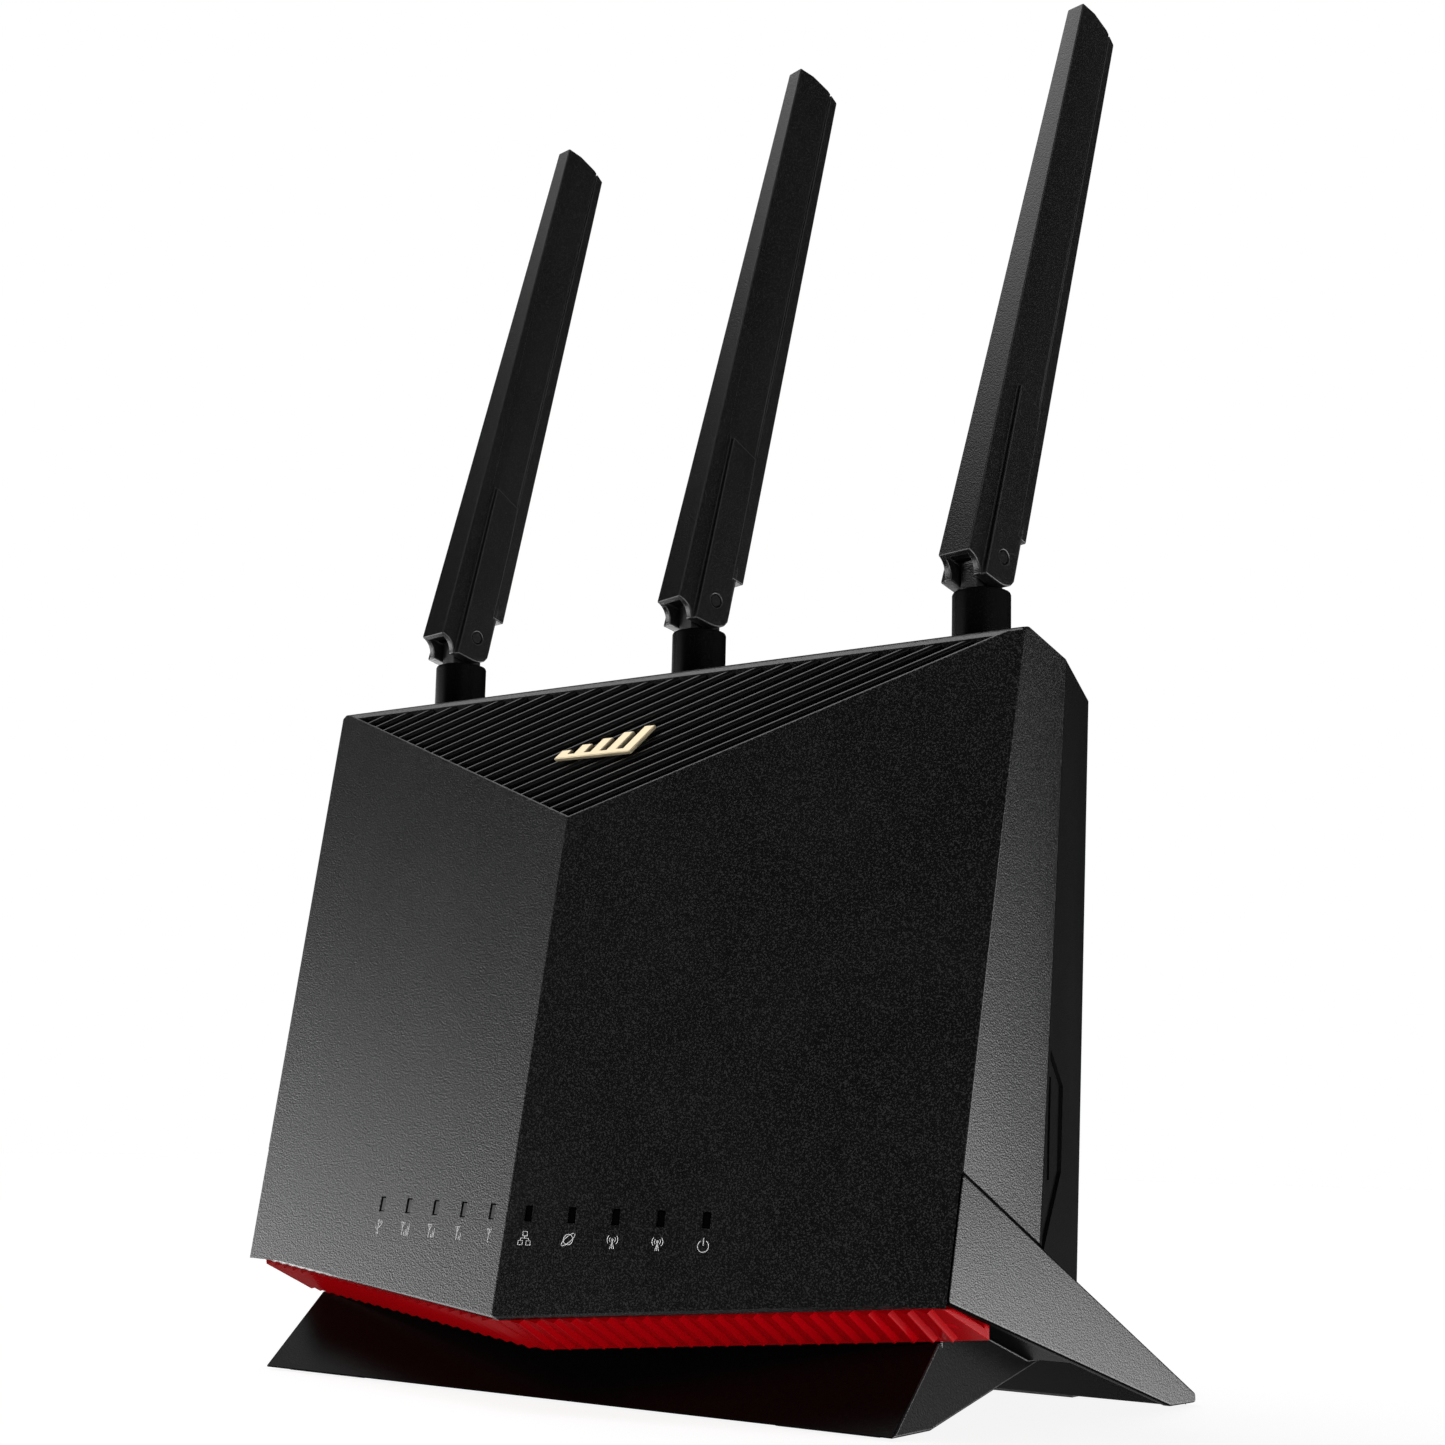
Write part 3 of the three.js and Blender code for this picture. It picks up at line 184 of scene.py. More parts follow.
def makeFloor():
    shape = bmesh.new()
    cells = floorLook["cells"]
    bmesh.ops.create_grid(shape, x_segments=cells, y_segments=cells, size=floorLook["half"])
    mesh = bpy.data.meshes.new("floor")
    shape.to_mesh(mesh)
    shape.free()
    floor = bpy.data.objects.new("floor", mesh)
    bpy.context.collection.objects.link(floor)
    paint = bpy.data.materials.new("floorPaint")
    paint.use_nodes = True
    surface = paint.node_tree.nodes["Principled BSDF"]
    surface.inputs["Base Color"].default_value = (*[floorLook["grey"]] * 3, 1)
    surface.inputs["Roughness"].default_value = 1
    surface.inputs["Specular IOR Level"].default_value = 0
    surface.inputs["Emission Color"].default_value = white
    surface.inputs["Emission Strength"].default_value = floorLook["glow"]
    mesh.materials.append(paint)
    floor.visible_glossy = False
    floor.visible_diffuse = False
    floor.visible_shadow = False


overhead = {"place": (0.1, 0.1, 1.3), "target": (0, 0, 0.1), "size": 1.2, "power": 0.5}


def makeLight():
    data = bpy.data.lights.new("overhead", "AREA")
    data.shape = "RECTANGLE"
    data.size = data.size_y = overhead["size"]
    data.energy = overhead["power"]
    lamp = bpy.data.objects.new("overhead", data)
    bpy.context.collection.objects.link(lamp)
    lamp.location = overhead["place"]
    aim = Vector(overhead["target"]) - Vector(overhead["place"])
    lamp.rotation_euler = aim.to_track_quat("-Z", "Y").to_euler()


makeCamera()
makeStudio()
makeFloor()
makeLight()
print("camera, light and floor")


# Mesh tools: rounding is a list of (width, steps, which edges, material slot)

moulding = {
    "merge": 0.002,
    "flat": 0.4,        # degrees between faces that are merged
    "sharpest": 14,     # degrees from which an edge is rounded
    "barSharpest": 40,
    "tight": 1.25,      # shortest neighbour of a rounded edge, in widths
    "passes": 6,
    "slack": 0.05,
    "weight": 80,
}


def farthest(node, towards):
    towards = Vector(towards)
    return max((vertex.co for vertex in nodes[node].data.vertices), key=towards.dot).copy()


def makePiece(name, mesh, *finishes):
    piece = bpy.data.objects.new(name, mesh)
    bpy.context.collection.objects.link(piece)
    for finish in finishes:
        mesh.materials.append(finish)
    return piece


def settle(piece):
    # Bakes the modifiers into a plain mesh.
    bpy.context.view_layer.update()
    graph = bpy.context.evaluated_depsgraph_get()
    ready = piece.evaluated_get(graph)
    mesh = bpy.data.meshes.new_from_object(ready, preserve_all_data_layers=True, depsgraph=graph)
    piece.modifiers.clear()
    piece.data = mesh
    return piece


def evenNormals(piece):
    weighted = piece.modifiers.new("evenNormals", "WEIGHTED_NORMAL")
    weighted.keep_sharp = True
    weighted.weight = moulding["weight"]
    return settle(piece)


def roundEdges(shape, width, steps, sharpest, wanted, slot=1):
    # Leaves out an edge that runs on into a short one which stays as it is.
    def turns(edge):
        if len(edge.link_faces) != 2 or any(face.material_index for face in edge.link_faces):
            return False
        return edge.calc_face_angle(0) > math.radians(sharpest) and wanted(edge)

    chosen = {edge for edge in shape.edges if turns(edge)}
    shortest = moulding["tight"] * width
    for _ in range(moulding["passes"]):
        tight = {
            edge
            for edge in chosen
            if any(
                other not in chosen and other.calc_length() < shortest
                for end in edge.verts
                for other in end.link_edges
            )
        }
        if not tight:
            break
        chosen -= tight
    if chosen:
        bmesh.ops.bevel(
            shape,
            geom=[edge for edge in shape.edges if edge in chosen],
            offset=width,
            offset_type="OFFSET",
            segments=steps,
            profile=0.5,
            affect="EDGES",
            clamp_overlap=False,
            material=slot,
        )


def everyEdge(shape):
    return lambda edge: True


def outerEdge(shape):
    # Edges that no other part of the piece reaches past.
    points = [vertex.co.copy() for vertex in shape.verts]
    slack = moulding["slack"] * mm

    def wanted(edge):
        outward = (edge.link_faces[0].normal + edge.link_faces[1].normal).normalized()
        middle = (edge.verts[0].co + edge.verts[1].co) / 2
        return outward.dot(middle) > max(outward.dot(point) for point in points) - slack

    return wanted


def allRound(width, steps=2):
    return ((width * mm, steps, everyEdge),)


def moulded(node, finish, paintedEdgeHighlight=None, rounding=(), sharpest=moulding["sharpest"], name=None):
    # A copy of a CAD solid with merged flat faces, rounded edges and even normals; faces rounded with slot 1
    # take the painted edge highlight, if one is given.
    mesh = nodes[node].data.copy()
    mesh.materials.clear()
    shape = bmesh.new()
    shape.from_mesh(mesh)
    bmesh.ops.remove_doubles(shape, verts=shape.verts, dist=moulding["merge"] * mm)
    bmesh.ops.dissolve_limit(
        shape,
        angle_limit=math.radians(moulding["flat"]),
        use_dissolve_boundaries=False,
        verts=shape.verts,
        edges=shape.edges,
        delimit=set(),
    )
    for width, steps, wanted, *slot in rounding:
        shape.normal_update()
        roundEdges(shape, width, steps, sharpest, wanted(shape), *slot)
    shape.normal_update()
    for face in shape.faces:
        face.smooth = True
    for edge in shape.edges:
        rounded = any(face.material_index for face in edge.link_faces)
        edge.smooth = rounded or len(edge.link_faces) != 2 or edge.calc_face_angle(0) < math.radians(sharpest)
    if paintedEdgeHighlight is None:
        for face in shape.faces:
            face.material_index = 0
    finishes = (finish,) if paintedEdgeHighlight is None else (finish, paintedEdgeHighlight, finish)
    piece = makePiece(name or node + ".moulded", mesh, *finishes)
    shape.to_mesh(mesh)
    shape.free()
    evenNormals(piece)
    return piece


def stands(piece, slot, *replaced):
    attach(piece, bodyOf[replaced[0]])
    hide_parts(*replaced)


# A straight row of copies, from a first size to a last one
def rowTree():
    tree = bpy.data.node_groups.new("straightRow", "GeometryNodeTree")
    kinds = {
        "Copy": "Geometry",
        "Start": "Vector",
        "Step": "Vector",
        "Count": "Int",
        "Turn": "Vector",
        "First Size": "Vector",
        "Last Size": "Vector",
        "Finish": "Material",
    }
    for name, kind in kinds.items():
        tree.interface.new_socket(name=name, in_out="INPUT", socket_type="NodeSocket" + kind)
    tree.interface.new_socket(name="Row", in_out="OUTPUT", socket_type="NodeSocketGeometry")
    link = tree.links.new
    given = tree.nodes.new("NodeGroupInput")
    line = tree.nodes.new("GeometryNodeMeshLine")
    link(given.outputs["Count"], line.inputs["Count"])
    link(given.outputs["Start"], line.inputs["Start Location"])
    link(given.outputs["Step"], line.inputs["Offset"])
    index = tree.nodes.new("GeometryNodeInputIndex")
    steps = combine(tree, "MAXIMUM", combine(tree, "SUBTRACT", given.outputs["Count"], 1), 1)
    share = combine(tree, "DIVIDE", index.outputs[0], steps)
    size = tree.nodes.new("ShaderNodeMix")
    size.data_type = "VECTOR"
    link(share, size.inputs["Factor"])
    vectors = [socket for socket in size.inputs if socket.type == "VECTOR" and socket.name in "AB"]
    link(given.outputs["First Size"], vectors[0])
    link(given.outputs["Last Size"], vectors[1])
    turned = tree.nodes.new("FunctionNodeEulerToRotation")
    link(given.outputs["Turn"], turned.inputs[0])
    copies = tree.nodes.new("GeometryNodeInstanceOnPoints")
    link(line.outputs[0], copies.inputs["Points"])
    link(given.outputs["Copy"], copies.inputs["Instance"])
    link(turned.outputs[0], copies.inputs["Rotation"])
    link([out for out in size.outputs if out.type == "VECTOR"][0], copies.inputs["Scale"])
    real = tree.nodes.new("GeometryNodeRealizeInstances")
    link(copies.outputs[0], real.inputs[0])
    painted = tree.nodes.new("GeometryNodeSetMaterial")
    link(real.outputs[0], painted.inputs["Geometry"])
    link(given.outputs["Finish"], painted.inputs["Material"])
    out = tree.nodes.new("NodeGroupOutput")
    link(painted.outputs[0], out.inputs[0])
    return tree


rowOfCopies = rowTree()


def growRow(name, copy, finish, start, step, count, turn=None, first=(1, 1, 1), last=None):
    turn = turn.to_euler() if turn else (0, 0, 0)
    piece = makePiece(name, copy)
    modifier = piece.modifiers.new("row", "NODES")
    modifier.node_group = rowOfCopies
    values = {
        "Start": start,
        "Step": step,
        "Count": count,
        "Turn": turn,
        "First Size": first,
        "Last Size": last or first,
        "Finish": finish,
    }
    for socket in rowOfCopies.interface.items_tree:
        if socket.in_out == "INPUT" and socket.name in values:
            value = values[socket.name]
            modifier[socket.identifier] = tuple(value) if hasattr(value, "__len__") else value
    return settle(piece)


def frameOf(along, outward):
    # Y runs along, Z points outward.
    along = along.normalized()
    across = along.cross(outward).normalized()
    return Matrix((across, along, across.cross(along))).transposed()


def barMesh(name, outline):
    # A closed bar one metre along Y with the given (x, z) section.
    shape = bmesh.new()
    rings = [[shape.verts.new((x, y, z)) for x, z in outline] for y in (0, 1)]
    for ring in rings:
        shape.faces.new(ring)
    count = len(outline)
    for index in range(count):
        following = (index + 1) % count
        face = shape.faces.new((rings[0][index], rings[0][following], rings[1][following], rings[1][index]))
        face.smooth = True
    bmesh.ops.recalc_face_normals(shape, faces=shape.faces)
    for edge in shape.edges:
        edge.smooth = edge.calc_face_angle(0) < math.radians(moulding["barSharpest"])
    mesh = bpy.data.meshes.new(name)
    shape.to_mesh(mesh)
    shape.free()
    return mesh


def arc(centre, radius, start, end, steps):
    angles = [math.radians(start + (end - start) * index / steps) for index in range(steps + 1)]
    return [(centre[0] + radius * math.cos(a), centre[1] + radius * math.sin(a)) for a in angles]


def joined(name, *parts):
    shape = bmesh.new()
    finishes = []
    for part in parts:
        own = list(part.data.materials)
        finishes += [finish for finish in own if finish and finish not in finishes]
        before = len(shape.faces)
        shape.from_mesh(part.data)
        shape.faces.ensure_lookup_table()
        for face in shape.faces[before:]:
            face.material_index = finishes.index(own[face.material_index] or own[-1])
        bpy.data.objects.remove(part)
    mesh = bpy.data.meshes.new(name)
    piece = makePiece(name, mesh, *finishes)
    shape.to_mesh(mesh)
    shape.free()
    return piece


# Finishes

texture = {
    "fine": (1.0, 0),           # each noise: fineness and detail
    "coarse": (0.5, 0),
    "patches": (0.012, 3),
    "middle": 0.5,
    "fineShare": 0.8,
    "coarseShare": 0.2,
    "speckle": (0.5, 0.72),     # where dust begins and is full
    "spots": (0.42, 0.7),
    "spotsShare": 0.06,
}


def makeGrainGroup():
    # Fine moulded grain, faint dust in patches and uneven gloss
    tree = bpy.data.node_groups.new("mouldedGrain", "ShaderNodeTree")
    wants = (
        ("Position", "Vector"), ("Colour", "Color"), ("Dust Colour", "Color"), ("Dust", "Float"),
        ("Gloss", "Float"), ("Gloss Spread", "Float"), ("Grain Size", "Float"),
    )
    for name, kind in wants:
        tree.interface.new_socket(name=name, in_out="INPUT", socket_type="NodeSocket" + kind)
    for name, kind in (("Colour", "Color"), ("Roughness", "Float"), ("Grain", "Float")):
        tree.interface.new_socket(name=name, in_out="OUTPUT", socket_type="NodeSocket" + kind)
    given = tree.nodes.new("NodeGroupInput")
    out = tree.nodes.new("NodeGroupOutput")
    link = tree.links.new

    def noise(share, detail):
        scaled = tree.nodes.new("ShaderNodeVectorMath")
        scaled.operation = "SCALE"
        link(given.outputs["Position"], scaled.inputs[0])
        link(combine(tree, "DIVIDE", share, given.outputs["Grain Size"]), scaled.inputs["Scale"])
        cloud = tree.nodes.new("ShaderNodeTexNoise")
        cloud.inputs["Scale"].default_value = 1
        cloud.inputs["Detail"].default_value = detail
        link(scaled.outputs[0], cloud.inputs["Vector"])
        return cloud.outputs["Fac"]

    def times(first, second):
        return combine(tree, "MULTIPLY", first, second)

    fine, coarse, patches = (noise(*texture[name]) for name in ("fine", "coarse", "patches"))
    grain = combine(tree, "ADD", times(fine, texture["fineShare"]), times(coarse, texture["coarseShare"]))
    link(grain, out.inputs["Grain"])
    spots = times(remap(tree, patches, *texture["spots"]), texture["spotsShare"])
    dusty = combine(tree, "ADD", spots, remap(tree, fine, *texture["speckle"]))
    tinted = tree.nodes.new("ShaderNodeMix")
    tinted.data_type = "RGBA"
    link(times(dusty, given.outputs["Dust"]), tinted.inputs["Factor"])
    colours = [socket for socket in tinted.inputs if socket.type == "RGBA"]
    link(given.outputs["Colour"], colours[0])
    link(given.outputs["Dust Colour"], colours[1])
    link([socket for socket in tinted.outputs if socket.type == "RGBA"][0], out.inputs["Colour"])
    offset = times(combine(tree, "SUBTRACT", patches, texture["middle"]), given.outputs["Gloss Spread"])
    link(combine(tree, "ADD", given.outputs["Gloss"], offset), out.inputs["Roughness"])
    return tree


grainGroup = makeGrainGroup()


def grey(level):
    return (level, level, level)


def grained(
    name, colour,
    roughness=0.45, grain=0.4, depth=0.05, dust=0.3, dustColour=grey(0.05), spread=0.15, **shader
):
    # grain and depth are in millimetres
    finish = bpy.data.materials.new(name)
    finish.use_nodes = True
    finish.diffuse_color = (*colour, 1)
    tree = finish.node_tree
    surface = tree.nodes["Principled BSDF"]
    place = tree.nodes.new("ShaderNodeTexCoord")
    group = tree.nodes.new("ShaderNodeGroup")
    group.node_tree = grainGroup
    group.inputs["Colour"].default_value = (*colour, 1)
    group.inputs["Dust Colour"].default_value = (*dustColour, 1)
    group.inputs["Dust"].default_value = dust
    group.inputs["Gloss"].default_value = roughness
    group.inputs["Gloss Spread"].default_value = spread
    group.inputs["Grain Size"].default_value = grain * mm
    link = tree.links.new
    link(place.outputs["Object"], group.inputs["Position"])
    link(group.outputs["Colour"], surface.inputs["Base Color"])
    link(group.outputs["Roughness"], surface.inputs["Roughness"])
    bump = tree.nodes.new("ShaderNodeBump")
    bump.inputs["Strength"].default_value = 1
    bump.inputs["Distance"].default_value = depth * mm
    link(group.outputs["Grain"], bump.inputs["Height"])
    link(bump.outputs["Normal"], surface.inputs["Normal"])
    for socket, value in shader.items():
        surface.inputs[socket.replace("_", " ")].default_value = value
    return finish


housing = grained(
    "housing", (0.0025, 0.0025, 0.0026),
    roughness=0.32, grain=0.36, depth=0.08, dust=1.0, dustColour=grey(0.03), spread=0.02, IOR=1.5,
)
# Painted highlight: a paler, more reflective copy of the housing plastic for the rounded lower rim of the
# front cover
housingEdgeHighlight = grained(
    "housingEdgeHighlight", grey(0.14),
    roughness=0.35, depth=0.01, dust=0.2, dustColour=grey(0.1), IOR=1.7,
)
rearPlastic = grained(
    "rearPlastic", grey(0.003),
    roughness=0.34, grain=0.34, depth=0.05, dust=0.2, dustColour=grey(0.02), spread=0.03, IOR=1.28,
)
grillePlastic = grained(
    "grillePlastic", grey(0.004),
    roughness=0.25, depth=0.01, dust=0.1, dustColour=grey(0.02),
)
standPlastic = grained(
    "standPlastic", grey(0.003),
    roughness=0.3, grain=0.34, depth=0.06, dust=0.5, dustColour=grey(0.02), spread=0.03, IOR=1.58,
)
# Painted shade: darker, less reflective copies of the stand plastic for the stand's flanks, front slope and
# underside
standPaintedShade = grained(
    "standPaintedShade", grey(0.002),
    roughness=0.3, grain=0.34, depth=0.04, dust=0.4, dustColour=grey(0.01), spread=0.02, IOR=1.17,
)
standPaintedUnderShade = grained("standPaintedUnderShade", grey(0.001), roughness=0.45, depth=0.02, dust=0.0, spread=0.0, IOR=1.06)
antennaPlastic = grained(
    "antennaPlastic", grey(0.003),
    roughness=0.28, grain=0.34, depth=0.06, dust=0.6, dustColour=grey(0.02), spread=0.03, IOR=1.4,
)
nutPlastic = grained(
    "nutPlastic", grey(0.002),
    roughness=0.22, grain=0.34, depth=0.03, dust=0.3, dustColour=grey(0.01), spread=0.02, IOR=1.25,
)
# Painted highlight: a paler copy of the antenna plastic for the rounded edges of the blade shells
antennaEdgeHighlight = grained("antennaEdgeHighlight", grey(0.02), roughness=0.35, depth=0.01, dust=0.1)
# Painted glow: a faint red emission keeps the red plastic bright red also where it lies in shade
redPlastic = grained(
    "redPlastic", (0.22, 0.0004, 0.002),
    roughness=0.25, depth=0.01, dust=0.1, dustColour=(0.2, 0.001, 0.004),
    IOR=1.2, Specular_Tint=(1, 0.04, 0.06, 1), Emission_Color=(1, 0.002, 0.006, 1), Emission_Strength=0.05,
)
rubber = grained("rubber", grey(0.02), roughness=0.75, depth=0.03)
goldTrim = grained(
    "goldTrim", (0.62, 0.52, 0.34),
    roughness=0.3, depth=0.008, dust=0.1, dustColour=(0.7, 0.62, 0.45), Metallic=0.7,
)
smokedWindow = grained("smokedWindow", grey(0.002), roughness=0.12, depth=0.0, dust=0.0, spread=0.0, IOR=1.6)
# Painted glow: a faint white emission keeps the ink lines pale on the dark facets
iconInk = grained(
    "iconInk", grey(0.75),
    roughness=0.6, depth=0.01, dust=0.1, dustColour=grey(0.3),
    Emission_Color=white, Emission_Strength=0.12,
)
screwSteel = grained("screwSteel", (0.2, 0.2, 0.21), roughness=0.35, depth=0.01, dust=0.2, Metallic=1.0)
boardLacquer = grained(
    "boardLacquer", (0.01, 0.09, 0.04),
    roughness=0.35, grain=0.8, depth=0.02, dust=0.3, dustColour=(0.02, 0.14, 0.06),
)
portPlastic = grained("portPlastic", (0.012, 0.012, 0.013), roughness=0.45, depth=0.02)
buttonPlastic = grained("buttonPlastic", grey(0.02), roughness=0.4, depth=0.02)


def bareMetal(name, colour, roughness, depth, dustColour):
    return grained(name, colour, roughness, depth=depth, dust=0.2, dustColour=dustColour, Metallic=1.0)


brass = bareMetal("brass", (0.75, 0.52, 0.22), 0.3, 0.01, (0.5, 0.33, 0.15))
steel = bareMetal("steel", (0.62, 0.62, 0.6), 0.32, 0.01, (0.5, 0.5, 0.48))
aluminium = bareMetal("aluminium", (0.72, 0.73, 0.74), 0.4, 0.02, grey(0.6))
print("finishes")


# Front cover: a wide radius along the top, fine radii elsewhere

ridgeFoot = farthest("front_cover", (0, -1, 0))
ventPoint = farthest("front_cover", (0, -1, 0.4))
topCorner = farthest("front_cover", (0.3, -1, 1))
cover = {
    "topRadius": 1.9,
    "rimRadius": 0.5,
    "edgeRadius": 0.25,
    "topReach": 0.4,    # how far from the top line an edge may lie
    "rimHeight": 12,    # how high above the foot of the ridge the lower rim goes
    "rimSlope": 0.6,    # steeper edges aren't part of the lower rim
}


def alongTop(shape):
    def wanted(edge):
        return all((end.co - topCorner).yz.length < cover["topReach"] * mm for end in edge.verts)

    return wanted


def lowerRim(shape):
    outer = outerEdge(shape)
    highest = ridgeFoot.z + cover["rimHeight"] * mm

    def wanted(edge):
        first, second = (end.co for end in edge.verts)
        level = abs((first - second).normalized().z) < cover["rimSlope"]
        return max(first.z, second.z) < highest and level and outer(edge)

    return wanted


# The rounded lower rim takes the painted edge highlight
frontCover = moulded(
    "front_cover",
    housing,
    housingEdgeHighlight,
    rounding=(
        (cover["topRadius"] * mm, 4, alongTop, 2),
        (cover["rimRadius"] * mm, 2, lowerRim, 1),
        (cover["edgeRadius"] * mm, 2, outerEdge, 2),
    ),
)
stands(frontCover, "housing", "front_cover")
rearCover = moulded("rear_cover", rearPlastic, rounding=((cover["rimRadius"] * mm, 2, outerEdge),))
stands(rearCover, "rear_cover", "rear_cover")
print("covers")


# Top grille: rounded slats parallel to the right-hand edge of the vent, with a flat rail under each edge

slats = {
    "pitch": 3.5,
    "first": 0.8,       # in pitches from the right-hand edge
    "width": 1.6,
    "rise": 0.8,
    "depth": 1.6,
    "sunk": 0.25,
    "reach": (0.5, 1.8),    # past the corners, at the foot and at the far end
    "steps": 10,
}
rails = {"width": 4.0, "rise": 0.3, "depth": 1.2, "drop": 2.8, "end": 5.0}


def slatSection(width, rise, depth):
    crown = arc((0, -rise), width / 2, 180, 0, slats["steps"])
    crown = [(x, -rise + (z + rise) * 2 * rise / width) for x, z in crown]
    return [(x * mm, z * mm) for x, z in [(-width / 2, -depth - rise)] + crown + [(width / 2, -depth - rise)]]


def makeTopGrille():
    foot = farthest("top_grille", (0, -1, -0.1))
    right = farthest("top_grille", (0.3, -1, 1))
    left = farthest("top_grille", (-0.3, -1, 1))
    outward = (right - foot).cross(left - foot).normalized()
    slant = (right - foot).normalized()
    reach = (left - foot).cross(slant).length       # farthest corner from the right-hand edge
    first = slats["first"] * slats["pitch"] * mm / reach
    count = int((1 - first) * reach / (slats["pitch"] * mm))
    step = (left - foot) * (slats["pitch"] * mm / reach)
    before, after = slats["reach"]
    base = foot - (slant * before + outward * slats["sunk"]) * mm
    bar = barMesh("slat", slatSection(slats["width"], slats["rise"], slats["depth"]))
    last = first + (count - 1) * slats["pitch"] * mm / reach

    def barSize(share):
        return (1, (right - foot).length * (1 - share) + (before + after) * mm, 1)

    rows = [
        growRow(
            "slats", bar, grillePlastic, base + (left - foot) * first, step, count,
            turn=frameOf(slant, outward), first=barSize(first), last=barSize(last),
        )
    ]
    for index, (start, end) in enumerate(((foot, right), (right, left), (left, foot))):
        run = end - start
        along = run.normalized()
        inward = outward.cross(run).normalized()
        rail = barMesh(f"rail{index}", slatSection(rails["width"], rails["rise"], rails["depth"]))
        corner = start + (inward * rails["width"] / 2 - outward * rails["drop"] + along * rails["end"]) * mm
        rows.append(
            growRow(
                f"rails{index}", rail, grillePlastic, corner, (0, 0, 0), 1,
                turn=frameOf(run, outward), first=(1, run.length - 2 * rails["end"] * mm, 1),
            )
        )
    stands(joined("topGrille", *rows), "grille", "top_grille")


makeTopGrille()
badge = {"edgeRadius": 0.22}
badgeMark = moulded("badge", goldTrim, rounding=allRound(badge["edgeRadius"]), name="badgeMark")
stands(badgeMark, "badge", "badge")
print("grille and badge")


# Bottom grille: red louvres across both halves of the chin, over a sheet

louvres = {
    "pitch": 4.25,
    "first": 2.2,
    "lean": -2.0,
    "rise": 0.95,
    "sink": 0.3,
    "short": 1.8,
    "crest": 0.72,      # where the crest has its centre, as a share of the width and of the rise
    "round": 0.28,      # its radius, as a share of the rise
    "overlap": 0.1,     # under the louvre before, as a share of the width
    "heel": 0.2,        # how far the steep back goes down, as a share of the sink
    "sheetRadius": 0.2,
}


def louvreSection(width, rise, sink):
    # A saw tooth: a broad gentle face, a small round crest and a steep back.
    share = louvres["crest"]
    crest = arc((width * share, rise * share), rise * louvres["round"], 130, 0, 3)
    heel = [(width, -sink * louvres["heel"]), (width, -sink)]
    return [(x * mm, z * mm) for x, z in [(-width * louvres["overlap"], -sink)] + crest + heel]


def makeBottomGrille():
    front = farthest("bottom_grille", (0, -1, 0))
    back = farthest("bottom_grille", (0, 0, -1))
    end = farthest("bottom_grille", (1, -1, 0.05))
    rim = (end - front).normalized()
    across = back - front
    outward = across.cross(rim).normalized()
    outward = outward if outward.z < 0 else -outward
    direction = across + rim * louvres["lean"] * mm
    count = int(((end - front).length / mm - louvres["first"]) / louvres["pitch"])
    turn = frameOf(direction, outward)
    width = louvres["pitch"] * abs(rim.dot(turn.col[0]))
    tooth = barMesh("louvre", louvreSection(width, louvres["rise"], louvres["sink"]))
    if rim.dot(turn.col[0]) < 0:
        tooth.transform(Matrix.Diagonal((-1, 1, 1, 1)))
        tooth.flip_normals()
    start, step = (rim * louvres[name] * mm for name in ("first", "pitch"))
    right = growRow(
        "louvresRight", tooth, redPlastic, front + start, step, count,
        turn=turn, first=(1, direction.length - louvres["short"] * mm, 1),
    )
    mirrored = right.data.copy()
    mirrored.transform(Matrix.Diagonal((-1, 1, 1, 1)))
    mirrored.flip_normals()
    left = makePiece("louvresLeft", mirrored, redPlastic)
    sheet = moulded("bottom_grille", redPlastic, rounding=allRound(louvres["sheetRadius"]), name="sheet")
    stands(joined("bottomGrille", sheet, right, left), "red_plastic", "bottom_grille")


makeBottomGrille()
print("louvres")


# Status icons under the windows, raised ink lines on the two facets; strokes are in units of the size

icons = {"height": 37.4, "size": 3.2, "line": 0.075, "pitch": 10.55}


def polygonRing(centre, radius, corners):
    return arc(centre, radius, 90, 450, corners)


def boxAt(x, y, w, h):
    return [(x, y), (x + w, y), (x + w, y + h), (x, y + h), (x, y)]


def tridentStrokes():
    return [
        [(-0.1, -0.5), (-0.1, 0.5)],
        [(-0.1, -0.15), (0.25, 0.1), (0.25, 0.25)],
        [(-0.1, -0.3), (-0.4, -0.05), (-0.4, 0.12)],
        polygonRing((-0.1, -0.5), 0.09, 8),
        boxAt(0.17, 0.25, 0.16, 0.16),
        [(-0.2, 0.42), (-0.1, 0.58), (0.0, 0.42)],
    ]


def antennaStrokes(shift=0.0):
    funnel = [(shift - 0.25, 0.45), (shift, 0.05), (shift + 0.25, 0.45), (shift - 0.25, 0.45)]
    return [[(shift, -0.5), (shift, 0.45)], funnel]


def barsStrokes(bars):
    rising = [[(-0.05 + 0.17 * i, -0.5), (-0.05 + 0.17 * i, -0.25 + 0.22 * i)] for i in range(bars)]
    return antennaStrokes(-0.35) + rising


def boxesStrokes():
    return [
        boxAt(-0.17, 0.12, 0.34, 0.3), boxAt(-0.48, -0.5, 0.34, 0.3), boxAt(0.14, -0.5, 0.34, 0.3),
        [(0, 0.12), (0, -0.04)], [(-0.31, -0.2), (-0.31, -0.04), (0.31, -0.04), (0.31, -0.2)],
    ]


def globeStrokes():
    # A ring and a tilted flat orbit that stops short behind it
    angles = [math.radians(20 + 12 * i) for i in range(29)]
    tilt = math.radians(42)
    orbit = [(0.62 * math.cos(a), 0.2 * math.sin(a)) for a in angles]
    across, up = math.cos(tilt), math.sin(tilt)
    turned = [(x * across - y * up, x * up + y * across) for x, y in orbit]
    return [polygonRing((0, 0), 0.36, 20), turned]


def towerStrokes():
    top = (0, 0.12)
    waves = [arc(top, radius, middle - 42, middle + 42, 6) for radius in (0.22, 0.4) for middle in (0, 180)]
    mast = [[(0, 0.1), (0, -0.5)], [(-0.15, -0.5), (0, 0.1), (0.15, -0.5)]]
    return mast + [polygonRing(top, 0.06, 8)] + waves


def powerStrokes():
    return [arc((0, -0.05), 0.4, 120, 420, 18), [(0, 0.0), (0, 0.5)]]


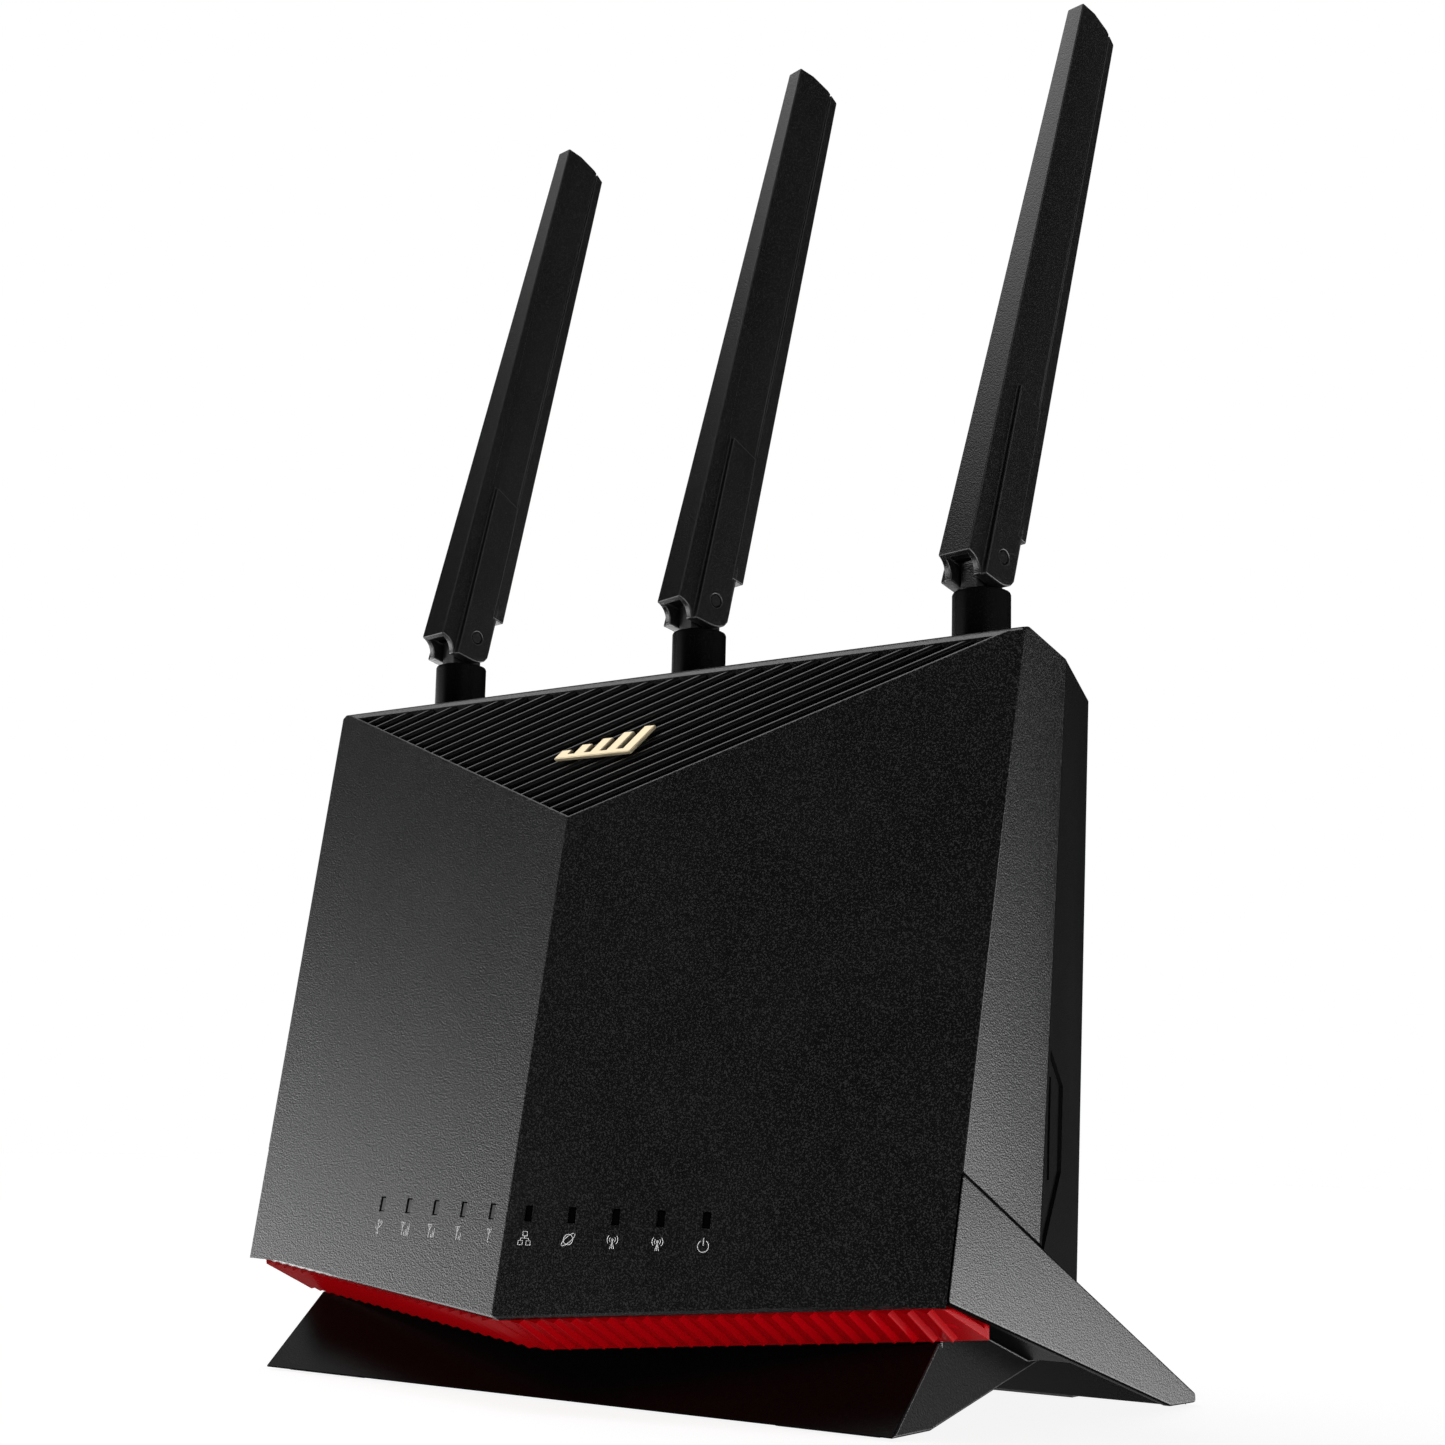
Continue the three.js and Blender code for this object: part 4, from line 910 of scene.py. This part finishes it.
def makeIcons():
    rows = {
        -1: (antennaStrokes(), barsStrokes(2), barsStrokes(3), barsStrokes(4), tridentStrokes()),
        1: (boxesStrokes(), globeStrokes(), towerStrokes(), towerStrokes(), powerStrokes()),
    }
    data = bpy.data.curves.new("icons", "CURVE")
    data.dimensions = "3D"
    data.bevel_depth = icons["line"] * mm
    data.bevel_resolution = 1
    data.use_fill_caps = True
    for side, row in rows.items():
        corner = Vector((side * topCorner.x, topCorner.y, topCorner.z))
        outward = (ventPoint - ridgeFoot).cross(corner - ridgeFoot).normalized()
        outward = outward if outward.y < 0 else -outward
        across = Vector((0, 0, 1)).cross(outward).normalized() * -1
        across = across if across.x > 0 else -across
        up = outward.cross(across).normalized()
        up = up if up.z > 0 else -up
        for index, strokes in enumerate(row):
            x = side * (icons["pitch"] / 2 + index * icons["pitch"]) * mm
            z = icons["height"] * mm
            y = ridgeFoot.y - (outward.x * x + outward.z * (z - ridgeFoot.z)) / outward.y
            middle = Vector((x, y, z))
            for stroke in strokes:
                spline = data.splines.new("POLY")
                spline.points.add(len(stroke) - 1)
                for point, (u, v) in zip(spline.points, stroke):
                    place = middle + (across * u + up * v) * icons["size"] * mm
                    point.co = (*place, 1)
    drawn = bpy.data.objects.new("iconLines", data)
    bpy.context.collection.objects.link(drawn)
    bpy.context.view_layer.update()
    graph = bpy.context.evaluated_depsgraph_get()
    mesh = bpy.data.meshes.new_from_object(drawn.evaluated_get(graph))
    bpy.data.objects.remove(drawn)
    piece = makePiece("statusIcons", mesh, iconInk)
    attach(piece, "root")


makeIcons()
print("icons")


# Stand and feet: painted shade on the stand, whose flanks and front slope take a darker, less reflective copy
# of its plastic, and its underside a darker one still

stand = {
    "edgeRadius": 0.6,
    "footRadius": 0.3,
    "flank": 0.998,         # least sideways part of a flank's normal
    "slope": (-0.5, 0.3),   # limits of the front slope's normal, forward and upward
    "under": -0.3,
}


# Painted shade: the flanks and the front slope take the first darker copy of the stand plastic, the underside
# the second, darker still
def shadeStand(piece):
    piece.data.materials.append(standPaintedShade)
    piece.data.materials.append(standPaintedUnderShade)
    forward, upward = stand["slope"]
    for face in piece.data.polygons:
        x, y, z = face.normal
        if abs(x) > stand["flank"] or (y < forward and z > upward):
            face.material_index = 1
        elif z < stand["under"]:
            face.material_index = 2


standPiece = moulded("stand", standPlastic, rounding=allRound(stand["edgeRadius"], 3))
shadeStand(standPiece)
stands(standPiece, "stand", "stand")
for end in ("front", "rear"):
    for side in ("left", "right"):
        foot = moulded(f"foot_{end}_{side}", rubber, rounding=allRound(stand["footRadius"]))
        stands(foot, "rubber", f"foot_{end}_{side}")
print("stand and feet")


# Antennas: nut, knuckle and two blade shells each

antenna = {"nutRadius": 0.7, "nutSharpest": 40, "knuckleRadius": 0.25, "shellRadius": 0.3}
nutEdges = allRound(antenna["nutRadius"], 3)
shellEdges = allRound(antenna["shellRadius"])
for side in sides:
    nut = moulded(f"nut_{side}", nutPlastic, rounding=nutEdges, sharpest=antenna["nutSharpest"])
    stands(nut, "antenna", f"nut_{side}")
    knuckle = moulded(f"knuckle_{side}", antennaPlastic, rounding=allRound(antenna["knuckleRadius"]))
    stands(knuckle, "antenna", f"knuckle_{side}")
    for half in ("front_shell", "back_shell"):
        # The shells' rounded edges take the painted edge highlight
        shell = moulded(f"{half}_{side}", antennaPlastic, antennaEdgeHighlight, rounding=shellEdges)
        stands(shell, "antenna", f"{half}_{side}")
print("antennas")


# Nodes that keep their CAD shape

finishOf = {
    "light_pipe_left": smokedWindow,
    "light_pipe_right": smokedWindow,
    "main_board": boardLacquer,
    "heatsink": aluminium,
}
steelNodes = ("cpu_shield", "radio_shield", "cellular_module", "sim_socket", "usb_port")
finishOf.update({node: steel for node in steelNodes})
finishOf.update({node: portPlastic for node in ("wan_port", "dc_jack")})
finishOf.update({f"{name}_button": buttonPlastic for name in ("power", "wps", "reset")})
finishOf.update({f"lan_port_{index}": portPlastic for index in range(1, 5)})
finishOf.update({f"{kind}_screw_{index}": screwSteel for kind in ("cover", "board") for index in range(1, 5)})
finishOf.update({f"jack_{side}": brass for side in sides})
finishOf.update({f"pin_{side}": antennaPlastic for side in sides})
finishOf.update({f"radiator_{side}": brass for side in sides})
for node, finish in finishOf.items():
    for slot in nodes[node].material_slots:
        slot.material = finish
print("carried-over nodes")
